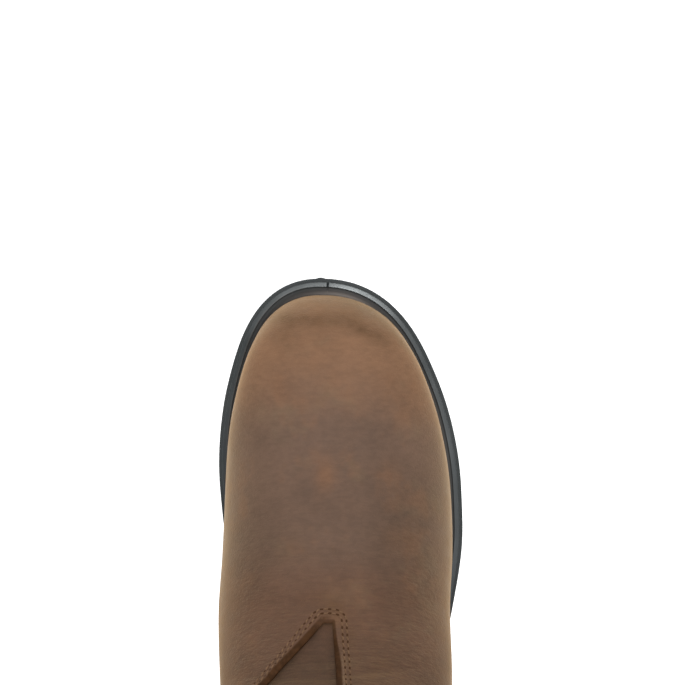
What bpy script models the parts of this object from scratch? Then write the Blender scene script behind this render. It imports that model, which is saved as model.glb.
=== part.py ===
"""Right-foot pull-on work boot: moulded sole, insole, hollow upper, lapped vamp, backstay and pull straps.

Lengths are millimetres until a mesh is made. A place on the boot is (x, station, z): x grows towards the
inner side of the foot, station is the distance back from the tip of the sole, and z is the height above the
floor. A ring round the boot is walked by its angle: 0 at the toe, positive along the inner side, 180 degrees
at the heel.
"""

from collections import namedtuple

import bmesh
import bpy
import numpy as np

MM = 0.001

# Driving sizes
SOLE_LENGTH = 312.0
GAP = 0.3
UPPER_WALL = 2.2
VAMP_WALL = 1.9
INSOLE_THICK = 4.5
RIM = 7.0

# Sole edges before the toe and heel are rounded, and the line that the rounding closes on
SolePlan = namedtuple("SolePlan", "station inner outer axis")
SOLE_PLAN = (
    SolePlan(0, 65.1, -55.0, 9.8),
    SolePlan(42, 60.2, -53.8, 8.9),
    SolePlan(60, 59.7, -55.1, 8.5),
    SolePlan(100, 57.7, -57.5, 7.4),
    SolePlan(126, 54.4, -57.8, 6.8),
    SolePlan(157, 45.0, -53.0, 6.2),
    SolePlan(188, 38.6, -46.0, 3.8),
    SolePlan(220, 37.8, -42.0, 2.4),
    SolePlan(255, 39.4, -40.2, 2.0),
    SolePlan(312, 40.5, -40.5, 1.5),
)
TOE_RUN = 105.0
TOE_POWER = 2.2
HEEL_RUN = 42.0
HEEL_POWER = 2.3

# Heights along the sole: seat is the top under the upper, base the underside between the lugs
SoleHeight = namedtuple("SoleHeight", "station seat base")
SOLE_HEIGHTS = (
    SoleHeight(0, 31.0, 5.0),
    SoleHeight(30, 26.6, 5.0),
    SoleHeight(70, 22.6, 5.0),
    SoleHeight(115, 22.0, 5.0),
    SoleHeight(150, 25.0, 6.6),
    SoleHeight(190, 31.5, 13.5),
    SoleHeight(230, 37.4, 17.0),
    SoleHeight(270, 39.8, 17.6),
    SoleHeight(312, 40.4, 17.6),
)
TOE_SPRING = 10.0
TOE_SPRING_END = 72.0
HEEL_BEVEL = 3.0
HEEL_BEVEL_START = 290.0

# Side of the sole from its bottom edge to the valley beside the leather
WallStep = namedtuple("WallStep", "outset share rise")
SOLE_WALL = (
    WallStep(-2.4, 0.00, 0.0),
    WallStep(-1.2, 0.00, 1.4),
    WallStep(-0.9, 0.50, -0.6),
    WallStep(-2.3, 0.50, 0.4),
    WallStep(-2.3, 0.50, 2.0),
    WallStep(-0.3, 0.50, 3.0),
    WallStep(0.0, 1.00, -0.7),
    WallStep(-1.4, 1.00, 0.1),
    WallStep(-1.9, 1.00, 1.25),
    WallStep(-3.9, 1.00, 1.6),
    WallStep(-4.5, 1.00, 1.0),
    WallStep(-6.3, 1.00, 0.0),
)
SOLE_POINTS = 60

# Tread: blocks round the rim of the forefoot and heel, with bars between them
HEEL_BREAST = 216.0
HEEL_BLOCK_INSET = 2.0
HEEL_BLOCK_BOTTOM = 6.0
LUG_EMBED = 2.0
LUG_OUTER_INSET = 3.4
LUG_INNER_INSET = 22.0
LUG_PITCH = 22.0
LUG_LENGTH = 15.5
FORE_LUGS_A_SIDE = 7
HEEL_LUGS_A_SIDE = 4
BAR_INSET = 30.0
BAR_LENGTH = 11.0
BAR_POINT = 6.0
FORE_BARS = (58.0, 77.0, 96.0, 115.0, 134.0)
HEEL_BARS = (234.0, 252.0, 270.0)

# Widest edges of the leather at each station, and the height at which it is widest
UpperPlan = namedtuple("UpperPlan", "station inner outer widest")
UPPER_PLAN = (
    UpperPlan(8, 59.7, -52.7, 40),
    UpperPlan(42, 54.3, -48.2, 41),
    UpperPlan(70, 54.8, -50.0, 42.6),
    UpperPlan(100, 54.8, -52.0, 44),
    UpperPlan(130, 55.5, -52.2, 54),
    UpperPlan(152, 56.6, -50.6, 68),
    UpperPlan(182, 55.3, -50.7, 102),
    UpperPlan(215, 55.2, -50.4, 138),
    UpperPlan(312, 54.8, -50.1, 165),
)

# Side view of the leather: toe, instep and front of the shaft, then heel and back of the shaft
Profile = namedtuple("Profile", "station height")
TOE_STATION = 9.0
FRONT_LINE = (
    Profile(8.0, 40.0),
    Profile(10.2, 49.0),
    Profile(16.5, 58.5),
    Profile(29.0, 66.5),
    Profile(60.0, 73.5),
    Profile(100.0, 82.5),
    Profile(130.0, 94.0),
    Profile(156.1, 108.5),
    Profile(175.0, 123.5),
    Profile(188.5, 142.5),
    Profile(196.0, 168.0),
    Profile(198.0, 200.0),
    Profile(198.0, 240.0),
    Profile(196.5, 275.0),
)
BACK_LINE = (
    Profile(303.5, 40.0),
    Profile(306.5, 52.0),
    Profile(307.3, 66.0),
    Profile(305.3, 90.0),
    Profile(301.0, 120.0),
    Profile(299.0, 150.0),
    Profile(300.0, 200.0),
    Profile(301.5, 240.0),
    Profile(303.0, 275.0),
)
PEAK_HEIGHT = 108.5

# Lengths over which the leather rounds off in plan, by height
Rounding = namedtuple("Rounding", "height front back")
ROUNDING = (
    Rounding(30, 95, 40),
    Rounding(44, 93, 40),
    Rounding(60, 68, 41),
    Rounding(80, 50, 43),
    Rounding(130, 48, 49),
    Rounding(165, 53, 52),
    Rounding(275, 55, 53),
)
LEATHER_POWER = 2.2
CLEARANCE_POWER = 4.0
SECTION_FADE = (140.0, 175.0)
CLEAR = 3.0
TINY = 1e-6
FLARE_FORE = 1.0
FLARE_HEEL = 1.6
FLARE_STATIONS = (120.0, 220.0)

# Rings of the leather: from the seat to the peak of the vamp, then up the shaft to the collar
FOOT_ROWS = 15
FOOT_ROW_POWER = 1.2
SHAFT_ROWS = 10
COLUMNS_A_SIDE = 22
PEAK_INNER_ANGLE = np.radians(1.0)
PEAK_OUTER_ANGLE = np.radians(1.6)
BACK_ANGLE = np.radians(176.0)
PEAK_SWEEP = 27.0
SWEEP_ANGLE = np.radians(33.0)
COLLAR_FALL = -5.0
BACKSTAY_COLUMNS = 2
BACKSTAY_WALL = 2.0
BACKSTAY_MARGIN = np.radians(0.6)

# Pull straps over the collar
STRAP_ANGLE = np.radians(90.0)
STRAP_WIDTH = 24.0
STRAP_THICK = 2.0
STRAP_ARCH = 26.0
STRAP_OPEN = 4.6
STRAP_OUTER_FOOT = 1.70
STRAP_INNER_FOOT = 1.78
STRAP_COLUMNS = 4
STRAP_LEG_ROWS = 4
STRAP_ARCH_ROWS = 9

# Footbed rings: inset from the upper and rise over the seat
INSOLE_RINGS = ((0.6, GAP), (0.2, 2.0), (0.2, INSOLE_THICK - 1.0), (1.4, INSOLE_THICK))

# Steps for measuring slopes, and samples along the front line and round the rim
LEVEL_STEP = 0.008
ANGLE_STEP = np.radians(1.0)
FRONT_SAMPLES = 900
RIM_SAMPLES = 721

# Finishes
SHARP_ANGLE = np.radians(40.0)
Finish = namedtuple("Finish", "colour roughness")
RUBBER = Finish((0.018, 0.018, 0.020), 0.55)
LEATHER = Finish((0.115, 0.060, 0.036), 0.75)
LINING = Finish((0.24, 0.17, 0.11), 0.90)


def column(rows, name):
    """One named column of a table as an array."""
    return np.array([getattr(row, name) for row in rows], dtype=float)


def smooth_curve(keys, values):
    """Cubic curve through the values, with parabola slopes at the keys, flat beyond its ends."""
    spans = np.diff(keys)
    slopes = np.diff(values) / spans
    middle = (spans[:-1] * slopes[1:] + spans[1:] * slopes[:-1]) / (spans[:-1] + spans[1:])
    tangents = np.concatenate((slopes[:1], middle, slopes[-1:]))

    def at(key):
        key = np.clip(key, keys[0], keys[-1])
        k = np.clip(np.searchsorted(keys, key, side="right") - 1, 0, len(spans) - 1)
        t = (key - keys[k]) / spans[k]
        ends = values[k] * (1 + 2 * t) * (1 - t) ** 2 + values[k + 1] * t ** 2 * (3 - 2 * t)
        bends = tangents[k] * t * (1 - t) ** 2 - tangents[k + 1] * t ** 2 * (1 - t)
        return ends + bends * spans[k]

    return at


def table_curve(rows, along, across):
    """Smooth curve of one table column against another."""
    return smooth_curve(column(rows, along), column(rows, across))


def smooth_step(low, high, value):
    """Ease from 0 at low to 1 at high."""
    t = np.clip((value - low) / (high - low), 0.0, 1.0)
    return t * t * (3 - 2 * t)


def mix(first, second, share):
    """Straight blend of two values."""
    return first + (second - first) * share


def rounded(share, power):
    """Half-width share of a rounded end, 0 at the tip and 1 from the end of its run on."""
    inside = 1.0 - np.clip(share, 0.0, 1.0)
    return np.clip(1.0 - inside ** power, 0.0, 1.0) ** (1.0 / power)


# Curves of the sole
sole_inner = table_curve(SOLE_PLAN, "station", "inner")
sole_outer = table_curve(SOLE_PLAN, "station", "outer")
centre_line = table_curve(SOLE_PLAN, "station", "axis")
seat_height = table_curve(SOLE_HEIGHTS, "station", "seat")
plain_base = table_curve(SOLE_HEIGHTS, "station", "base")


def tread_lift(station):
    """Height of the tread above the floor: toe spring in front and a small bevel behind."""
    toe = np.clip(1.0 - station / TOE_SPRING_END, 0.0, 1.0) ** 2
    heel = np.clip((station - HEEL_BEVEL_START) / (SOLE_LENGTH - HEEL_BEVEL_START), 0.0, 1.0) ** 2
    return TOE_SPRING * toe + HEEL_BEVEL * heel


def base_height(station):
    """Underside of the sole between its lugs."""
    return plain_base(station) + tread_lift(station)


def sole_ring(angles):
    """Plan of the sole's outermost edge as (x, station) for angles round the sole."""
    station = SOLE_LENGTH / 2 * (1.0 - np.cos(angles))
    axis = centre_line(station)
    edge = np.where(np.sin(angles) > 0, sole_inner(station), sole_outer(station))
    toe = rounded(station / TOE_RUN, TOE_POWER)
    heel = rounded((SOLE_LENGTH - station) / HEEL_RUN, HEEL_POWER)
    return np.stack((axis + (edge - axis) * toe * heel, station), axis=-1)


def ring_angles(count):
    """Evenly spread angles in symmetric pairs, none of them exactly at the toe or heel."""
    return (np.arange(count) + 0.5) * 2 * np.pi / count


def inset_ring(ring, amount):
    """A closed plan ring moved inwards along its own normals."""
    along = np.roll(ring, -1, axis=0) - np.roll(ring, 1, axis=0)
    along /= np.linalg.norm(along, axis=1, keepdims=True)
    inward = np.stack((along[:, 1], -along[:, 0]), axis=-1)
    middle = ring.mean(axis=0)
    turned = np.sum(inward * (middle - ring), axis=1).sum() < 0
    return ring + (-inward if turned else inward) * amount


# Curves of the leather. The front line starts where the leather meets the sole.
front_station_knots = np.concatenate(([TOE_STATION], column(FRONT_LINE, "station")))
front_height_knots = np.concatenate(([seat_height(TOE_STATION) + GAP], column(FRONT_LINE, "height")))
front_steps = np.hypot(np.diff(front_station_knots), np.diff(front_height_knots))
front_distance = np.concatenate(([0.0], np.cumsum(front_steps)))
front_station = smooth_curve(front_distance, front_station_knots)
front_height = smooth_curve(front_distance, front_height_knots)
PEAK_DISTANCE = front_distance[front_height_knots == PEAK_HEIGHT][0]
COLLAR_DISTANCE = front_distance[-1]
front_walk = np.linspace(0.0, COLLAR_DISTANCE, FRONT_SAMPLES)
front_walk_station = front_station(front_walk)
front_walk_height = front_height(front_walk)
foremost = int(np.argmin(front_walk_station))
throat = int(np.argmax(front_walk_station))

back_station = table_curve(BACK_LINE, "height", "station")
leather_inner = table_curve(UPPER_PLAN, "station", "inner")
leather_outer = table_curve(UPPER_PLAN, "station", "outer")
widest_height = table_curve(UPPER_PLAN, "station", "widest")
front_run = table_curve(ROUNDING, "height", "front")
back_run = table_curve(ROUNDING, "height", "back")


def front_at_height(height):
    """Station of the front line at a height."""
    return np.interp(height, front_walk_height, front_walk_station)


def crest_height(station):
    """Height of the front line over a station."""
    line = slice(foremost, throat + 1)
    return np.interp(station, front_walk_station[line], front_walk_height[line])


def leather_width(station, height, inner_side):
    """Half-width of the leather from its centre line.

    Below the widest height it grows from the seat outwards. Above it, and towards the toe and the front of
    the shaft, it closes on the centre line like a superellipse of the smaller of two clearances: down from
    the crest and back from the front line. The heel closes the same way on the back line.
    """
    axis = centre_line(station)
    seat_edge = np.where(inner_side, sole_inner(station) - RIM, sole_outer(station) + RIM)
    wide_edge = np.where(inner_side, leather_inner(station), leather_outer(station))
    seat = seat_height(station)
    widest = widest_height(station)
    flare = mix(FLARE_FORE, FLARE_HEEL, smooth_step(*FLARE_STATIONS, station))
    up_share = np.clip((height - seat) / (widest - seat), 0.0, 1.0) ** flare
    half = np.abs(mix(seat_edge, wide_edge, np.sin(np.pi / 2 * up_share)) - axis)
    crest = crest_height(station)
    below_crest = np.clip((crest - height) / np.maximum(crest - widest, 1.0), TINY, None)
    below_crest = mix(below_crest, CLEAR, smooth_step(*SECTION_FADE, height))
    behind_front = np.clip((station - front_at_height(height)) / front_run(height), TINY, None)
    clearance = (below_crest ** -CLEARANCE_POWER + behind_front ** -CLEARANCE_POWER) ** (-1 / CLEARANCE_POWER)
    before_back = (back_station(height) - station) / back_run(height)
    return half * rounded(clearance, LEATHER_POWER) * rounded(before_back, HEEL_POWER)


def leather_place(level, angle):
    """Point of the leather's outer face: level 0 at the sole, 1 at the peak of the vamp, 2 at the collar."""
    level = np.clip(level, 0.0, 2.0)
    foot = np.clip(level, 0.0, 1.0)
    shaft = np.clip(level - 1.0, 0.0, 1.0)
    walk = foot * PEAK_DISTANCE + shaft * (COLLAR_DISTANCE - PEAK_DISTANCE)
    start = front_station(walk)
    start_height = front_height(walk)
    round_share = (1.0 - np.cos(angle)) / 2
    peak_edge = np.where(angle > 0, PEAK_INNER_ANGLE, PEAK_OUTER_ANGLE)
    beyond_peak = np.clip(np.abs(angle) - peak_edge, 0.0, None)
    sweep_share = (1.0 - np.exp(-beyond_peak / SWEEP_ANGLE)) / (1.0 - np.exp(-np.pi / SWEEP_ANGLE))
    seat_rise = seat_height(mix(start, back_station(start_height), round_share)) - seat_height(start)
    peak_rise = mix(PEAK_SWEEP, COLLAR_FALL, shaft) * mix(sweep_share, round_share, shaft)
    height = start_height + mix(seat_rise, peak_rise, smooth_step(0.0, 1.0, foot))
    station = mix(front_at_height(height), back_station(height), round_share)
    inner_side = angle > 0
    width = leather_width(station, height, inner_side)
    x = centre_line(station) + np.where(inner_side, width, -width)
    return np.stack((x, station, height), axis=-1)


def leather_normal(level, angle):
    """Outward normal of the leather, level with the floor at its lower and upper edges."""
    along = leather_place(level, angle + ANGLE_STEP) - leather_place(level, angle - ANGLE_STEP)
    upward = leather_place(level + LEVEL_STEP, angle) - leather_place(level - LEVEL_STEP, angle)
    normal = np.cross(along, upward)
    edge = (level <= 0.0) | (level >= 2.0)
    normal[..., 2] = np.where(edge, 0.0, normal[..., 2])
    return normal / np.linalg.norm(normal, axis=-1, keepdims=True)


def leather_skin(level, angle, depth):
    """Grid of points at a depth inside the leather's outer face."""
    level, angle = np.broadcast_arrays(level, angle)
    return leather_place(level, angle) - leather_normal(level, angle) * depth


def leather_levels():
    """Levels of the leather's rings."""
    foot = (np.arange(FOOT_ROWS) / FOOT_ROWS) ** FOOT_ROW_POWER
    shaft = 1.0 + np.arange(SHAFT_ROWS + 1) / SHAFT_ROWS
    return np.concatenate((foot, shaft))


def side_angles(peak_edge):
    """Angles of the leather's columns on one side, from the peak's edge to the back."""
    return np.linspace(peak_edge, BACK_ANGLE, COLUMNS_A_SIDE)


def round_angles():
    """Angles of all columns: back along the inner side, then forward along the outer side."""
    return np.concatenate((side_angles(PEAK_INNER_ANGLE), -side_angles(PEAK_OUTER_ANGLE)[::-1]))


def add_object(name, points, faces, finish):
    """Object with its own material from points in (x, station, z) and faces that close a body."""
    mesh = bpy.data.meshes.new(name)
    places = (np.asarray(points) - (0.0, SOLE_LENGTH / 2, 0.0)) * MM
    mesh.from_pydata(places.tolist(), [], faces)
    body = bmesh.new()
    body.from_mesh(mesh)
    bmesh.ops.recalc_face_normals(body, faces=body.faces)
    body.to_mesh(mesh)
    body.free()
    mesh.shade_smooth()
    mesh.set_sharp_from_angle(angle=SHARP_ANGLE)
    material = bpy.data.materials.new(name)
    material.use_nodes = True
    shader = material.node_tree.nodes["Principled BSDF"]
    shader.inputs["Base Color"].default_value = (*finish.colour, 1.0)
    shader.inputs["Roughness"].default_value = finish.roughness
    mesh.materials.append(material)
    made = bpy.data.objects.new(name, mesh)
    bpy.context.collection.objects.link(made)
    return made


def halves(corners):
    """A four-cornered face as two triangles, over the diagonal from its first corner."""
    return [(corners[0], corners[1], corners[2]), (corners[0], corners[2], corners[3])]


def slab(front, back, cells, closed=False, turned=None):
    """Points and faces of a body between two like grids, over the cells that are switched on.

    The columns marked as turned are split over the other diagonal of their cells.
    """
    rows, columns = front.shape[:2]
    places = np.concatenate((front.reshape(-1, 3), back.reshape(-1, 3)))
    behind = rows * columns
    faces = []
    edge_uses = {}
    for row, col in zip(*np.nonzero(cells)):
        following = (col + 1) % columns if closed else col + 1
        corners = (
            row * columns + col,
            row * columns + following,
            (row + 1) * columns + following,
            (row + 1) * columns + col,
        )
        if turned is not None and turned[col]:
            split = corners[1:] + corners[:1]
        else:
            split = corners
        for half in halves(split):
            faces.append(half)
            faces.append(tuple(corner + behind for corner in reversed(half)))
        for first, second in zip(corners, corners[1:] + corners[:1]):
            if (second, first) in edge_uses:
                del edge_uses[(second, first)]
            else:
                edge_uses[(first, second)] = True
    for first, second in edge_uses:
        faces.extend(halves((second, first, first + behind, second + behind)))
    used = sorted({corner for face in faces for corner in face})
    place_of = {corner: number for number, corner in enumerate(used)}
    return places[used], [tuple(place_of[corner] for corner in face) for face in faces]


def loft(rings):
    """Points and faces of a body through rings of equal count, with a ladder of faces across both ends."""
    count = len(rings[0])
    faces = []
    for ring in range(len(rings) - 1):
        for i in range(count):
            j = (i + 1) % count
            low, high = ring * count, (ring + 1) * count
            faces.extend(halves((low + i, low + j, high + j, high + i)))
    for start, flip in ((0, True), ((len(rings) - 1) * count, False)):
        for i in range(count // 2 - 1):
            rung = (start + i, start + i + 1, start + count - 2 - i, start + count - 1 - i)
            faces.extend(halves(tuple(reversed(rung)) if flip else rung))
    return np.concatenate(rings), faces


def join_with(target, helper):
    """Fuse a hidden helper body into the target."""
    helper.hide_render = True
    helper.display_type = "WIRE"
    union = target.modifiers.new(helper.name, "BOOLEAN")
    union.operation = "UNION"
    union.solver = "EXACT"
    union.object = helper


def with_height(plan, height):
    """Points at a height over plan points."""
    return np.concatenate((plan, np.reshape(height, plan.shape[:-1] + (1,))), axis=-1)


def make_sole_body():
    """Moulded sole above its lugs, ring by ring up its side."""
    plan = sole_ring(ring_angles(SOLE_POINTS))
    rings = []
    for step in SOLE_WALL:
        ring = inset_ring(plan, -step.outset)
        height = mix(base_height(ring[:, 1]), seat_height(ring[:, 1]), step.share) + step.rise
        rings.append(with_height(ring, height))
    return add_object("outsole", *loft(rings), RUBBER)


def make_heel_block():
    """Heel under the sole, from its breast to the back."""
    plan = sole_ring(ring_angles(SOLE_POINTS))
    ring = inset_ring(plan, HEEL_BLOCK_INSET)
    ring = ring[plan[:, 1] > HEEL_BREAST]
    low = with_height(ring, HEEL_BLOCK_BOTTOM + tread_lift(ring[:, 1]))
    high = with_height(ring, base_height(ring[:, 1]) + LUG_EMBED)
    return add_object("heel_block", *loft((low, high)), RUBBER)


def rim_walk():
    """Distances from the toe along both sides of the sole with the plan points and normals there."""
    angles = np.linspace(-np.pi, np.pi, RIM_SAMPLES)
    plan = sole_ring(angles)
    along = np.gradient(plan, axis=0)
    along /= np.linalg.norm(along, axis=1, keepdims=True)
    inward = np.stack((-along[:, 1], along[:, 0]), axis=-1)
    distance = np.concatenate(([0.0], np.cumsum(np.linalg.norm(np.diff(plan, axis=0), axis=1))))
    return distance - distance[len(angles) // 2], plan, inward


def rim_place(walk, distance, inset):
    """Plan point at a distance along the rim from the toe and at an inset from the edge."""
    distances, plan, inward = walk
    spots = [np.interp(distance, distances, plan[:, k]) for k in range(2)]
    normal = [np.interp(distance, distances, inward[:, k]) for k in range(2)]
    return np.stack([spot + side * inset for spot, side in zip(spots, normal)], axis=-1)


def lug_body(footprint, top):
    """Block from the tread up into the sole over a grid of plan points."""
    low = with_height(footprint, tread_lift(footprint[..., 1]))
    high = with_height(footprint, top)
    return slab(low, high, np.ones((footprint.shape[0] - 1, footprint.shape[1] - 1), dtype=bool))


def rim_lug(walk, middle, top_of):
    """Lug at the rim of the sole, with its middle at a distance from the toe."""
    spread = middle + np.array((-0.5, 0.0, 0.5)) * LUG_LENGTH
    rows = [rim_place(walk, spread, inset) for inset in (LUG_OUTER_INSET, LUG_INNER_INSET)]
    footprint = np.stack(rows)
    return lug_body(footprint, top_of(footprint[..., 1]))


def centre_bar(station, top_of):
    """Bar across the middle of the tread, pointed towards the toe."""
    front = np.array((station + BAR_POINT, station, station + BAR_POINT))
    rows = []
    for stations in (front, front + BAR_LENGTH):
        x = np.array((
            sole_inner(stations[0]) - BAR_INSET,
            centre_line(stations[1]),
            sole_outer(stations[2]) + BAR_INSET,
        ))
        rows.append(np.stack((x, stations), axis=-1))
    footprint = np.stack(rows)
    return lug_body(footprint, top_of(footprint[..., 1]))


def make_lugs():
    """All lugs and bars of the tread as one helper."""
    walk = rim_walk()
    half_round = walk[0][-1]

    def fore_top(station):
        return base_height(station) + LUG_EMBED

    def heel_top(station):
        return HEEL_BLOCK_BOTTOM + tread_lift(station) + LUG_EMBED

    bodies = []
    for number in range(-FORE_LUGS_A_SIDE, FORE_LUGS_A_SIDE + 1):
        bodies.append(rim_lug(walk, number * LUG_PITCH, fore_top))
    for number in range(1, HEEL_LUGS_A_SIDE + 1):
        for side in (-1, 1):
            bodies.append(rim_lug(walk, side * (half_round - (number - 0.5) * LUG_PITCH), heel_top))
    for station in FORE_BARS:
        bodies.append(centre_bar(station, fore_top))
    for station in HEEL_BARS:
        bodies.append(centre_bar(station, heel_top))
    points = []
    faces = []
    for body_points, body_faces in bodies:
        start = len(points)
        points.extend(body_points.tolist())
        faces.extend(tuple(corner + start for corner in face) for face in body_faces)
    return add_object("lugs", points, faces, RUBBER)


def make_insole():
    """Footbed inside the upper, on the seat of the sole."""
    edge = leather_skin(0.0, round_angles(), VAMP_WALL + UPPER_WALL + 2 * GAP)[:, :2]
    rings = []
    for inset, rise in INSOLE_RINGS:
        ring = inset_ring(edge, inset)
        rings.append(with_height(ring, seat_height(ring[:, 1]) + rise))
    return add_object("insole", *loft(rings), LINING)


def make_upper():
    """Hollow leather of foot and shaft, open at the collar and underneath."""
    levels = leather_levels()[:, None]
    angles = round_angles()[None, :]
    outer = leather_skin(levels, angles, VAMP_WALL + GAP)
    inner = leather_skin(levels, angles, VAMP_WALL + GAP + UPPER_WALL)
    cells = np.ones((levels.shape[0] - 1, angles.shape[1]), dtype=bool)
    return add_object("upper", *slab(outer, inner, cells, True, angles[0] > 0), LEATHER)


def make_vamp():
    """Lapped leather over the foot, carried up the outer side to the collar, with its peak at the instep."""
    levels = leather_levels()[:, None]
    inner_side = side_angles(PEAK_INNER_ANGLE)[:-(BACKSTAY_COLUMNS - 1)]
    outer_side = -side_angles(PEAK_OUTER_ANGLE)[:-(BACKSTAY_COLUMNS - 1)][::-1]
    angles = np.concatenate((outer_side, inner_side))[None, :]
    outer = leather_skin(levels, angles, 0.0)
    inner = leather_skin(levels, angles, VAMP_WALL)
    cells = np.zeros((levels.shape[0] - 1, angles.shape[1] - 1), dtype=bool)
    cells[:FOOT_ROWS, :] = True
    cells[:, :len(outer_side) - 1] = True
    return add_object("vamp", *slab(outer, inner, cells, False, angles[0] > 0), LEATHER)


def make_backstay():
    """Strip over the closing seam at the back."""
    levels = leather_levels()[:, None]
    inner_edge, outer_edge = (side_angles(peak_edge)[-BACKSTAY_COLUMNS] + BACKSTAY_MARGIN
                              for peak_edge in (PEAK_INNER_ANGLE, PEAK_OUTER_ANGLE))
    angles = np.array((inner_edge, BACK_ANGLE, -BACK_ANGLE, -outer_edge))[None, :]
    outer = leather_skin(levels, angles, VAMP_WALL - BACKSTAY_WALL)
    inner = leather_skin(levels, angles, VAMP_WALL)
    cells = np.ones((levels.shape[0] - 1, angles.shape[1] - 1), dtype=bool)
    return add_object("backstay", *slab(outer, inner, cells), LEATHER)


def make_strap(name, side, wall_depth):
    """Strap sewn outside the shaft, over the collar in a loop, and down inside."""
    collar = leather_place(2.0, side * STRAP_ANGLE)
    ahead = leather_place(2.0, side * (STRAP_ANGLE + ANGLE_STEP))
    half_angle = STRAP_WIDTH / 2 / np.linalg.norm(ahead - collar) * ANGLE_STEP
    angles = side * (STRAP_ANGLE + np.linspace(-half_angle, half_angle, STRAP_COLUMNS))[None, :]
    outer_depth = wall_depth - GAP - STRAP_THICK / 2
    inner_depth = VAMP_WALL + 2 * GAP + UPPER_WALL + STRAP_THICK / 2
    outer_levels = np.linspace(STRAP_OUTER_FOOT, 2.0, STRAP_LEG_ROWS, endpoint=False)[:, None]
    inner_levels = np.linspace(2.0, STRAP_INNER_FOOT, STRAP_LEG_ROWS)[1:, None]
    turn = np.linspace(0.0, np.pi, STRAP_ARCH_ROWS)[:, None]
    reach = (inner_depth - outer_depth) / 2 * np.cos(turn) + STRAP_OPEN * np.sin(2 * turn)
    arch_depth = (inner_depth + outer_depth) / 2 - reach
    arch_angles = np.broadcast_to(angles, (STRAP_ARCH_ROWS, STRAP_COLUMNS))
    arch = leather_skin(2.0, arch_angles, arch_depth[..., None])
    arch[..., 2] += STRAP_ARCH * np.sin(turn)
    middle = np.concatenate((
        leather_skin(outer_levels, angles, outer_depth),
        arch,
        leather_skin(inner_levels, angles, inner_depth),
    ))
    normal = np.cross(np.gradient(middle, axis=0), np.gradient(middle, axis=1))
    normal *= STRAP_THICK / 2 / np.linalg.norm(normal, axis=-1, keepdims=True)
    cells = np.ones((middle.shape[0] - 1, STRAP_COLUMNS - 1), dtype=bool)
    return add_object(name, *slab(middle + normal, middle - normal, cells), LEATHER)


def main():
    for old in list(bpy.data.objects):
        bpy.data.objects.remove(old, do_unlink=True)
    sole = make_sole_body()
    join_with(sole, make_heel_block())
    join_with(sole, make_lugs())
    make_insole()
    make_upper()
    make_vamp()
    make_backstay()
    make_strap("pull_strap_inner", 1, VAMP_WALL + GAP)
    make_strap("pull_strap_outer", -1, 0.0)


main()
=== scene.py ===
# %% [markdown]
# # A pull-on work boot
# The imported model is a fixed frame in metres: the toe points along -Y, the inner side of the foot is +X
# and the floor is at z = 0. Every piece below is a finer skin of one of its solids, so the frame is loaded
# first.

# %% Load the frame
from collections import namedtuple

import bpy
import numpy as np
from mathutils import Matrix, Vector


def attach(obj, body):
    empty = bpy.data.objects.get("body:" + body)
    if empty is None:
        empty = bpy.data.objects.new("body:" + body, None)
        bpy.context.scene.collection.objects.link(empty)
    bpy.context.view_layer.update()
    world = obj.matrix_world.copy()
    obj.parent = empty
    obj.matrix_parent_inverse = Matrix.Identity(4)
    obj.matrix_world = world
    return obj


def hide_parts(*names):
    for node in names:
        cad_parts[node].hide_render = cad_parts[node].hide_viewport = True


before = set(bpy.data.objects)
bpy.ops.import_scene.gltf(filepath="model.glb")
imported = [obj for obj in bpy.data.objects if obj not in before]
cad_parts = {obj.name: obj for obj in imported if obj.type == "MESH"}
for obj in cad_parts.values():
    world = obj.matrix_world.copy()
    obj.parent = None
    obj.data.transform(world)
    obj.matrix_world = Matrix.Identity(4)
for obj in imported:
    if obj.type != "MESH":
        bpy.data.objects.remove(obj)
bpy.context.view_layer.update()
MM = 0.001
print("solids:", sorted(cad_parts))

# %% [markdown]
# ## Camera
# The boot is seen from straight above, with the toe at the top of the picture. Framed by eye, its size in
# the picture would be a guess. So the camera hangs at a real height, far enough to keep the sole's outline
# almost free of perspective, and the lens follows from how much the frame spans at the height of the
# sole's rim.

# %% Camera over the toe
SOLE_LENGTH = 312.0
CAMERA_HEIGHT = 1600.0
RIM_LEVEL = 25.0
FRAME_WIDTH = 326.2
VIEW_STATION = 30.3
VIEW_X = -0.74


def new_object(name, data):
    """An object that holds the data, at the scene's origin."""
    holder = bpy.data.objects.new(name, data)
    bpy.context.collection.objects.link(holder)
    return holder


camera = new_object("camera", bpy.data.cameras.new("camera"))
camera.data.lens = camera.data.sensor_width * (CAMERA_HEIGHT - RIM_LEVEL) / FRAME_WIDTH
camera.location = (VIEW_X * MM, (VIEW_STATION - SOLE_LENGTH / 2) * MM, CAMERA_HEIGHT * MM)
camera.rotation_euler = (0.0, 0.0, np.pi)
bpy.context.scene.camera = camera
print("lens in mm:", round(camera.data.lens, 1))

# %% [markdown]
# ## Light
# A white tent lights a product from all round, so the world is white and does most of the work. A large
# key box hangs behind the shaft. Two small boxes right over the toe put the pale streak on the moulded
# bead, and a weak one in front reaches the wall of the toe. The Standard view keeps the colours as they
# are set.

# %% Tent and soft boxes
TENT_STRENGTH = 0.55
WHITE = (1.0, 1.0, 1.0, 1.0)
SoftBox = namedtuple("SoftBox", "name place aim size watts")
SOFT_BOXES = (
    SoftBox("key_box", (0.08, 0.62, 2.05), (0.0, -0.06, 0.05), 0.85, 28.5),
    SoftBox("bead_box", (-0.22, -0.10, 2.00), (0.0, -0.13, 0.03), 0.34, 18.0),
    SoftBox("bead_fill", (0.12, -0.10, 2.00), (0.0, -0.13, 0.03), 0.24, 6.0),
    SoftBox("front_box", (0.10, -1.30, 0.90), (0.0, -0.12, 0.03), 0.60, 5.0),
)


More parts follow.
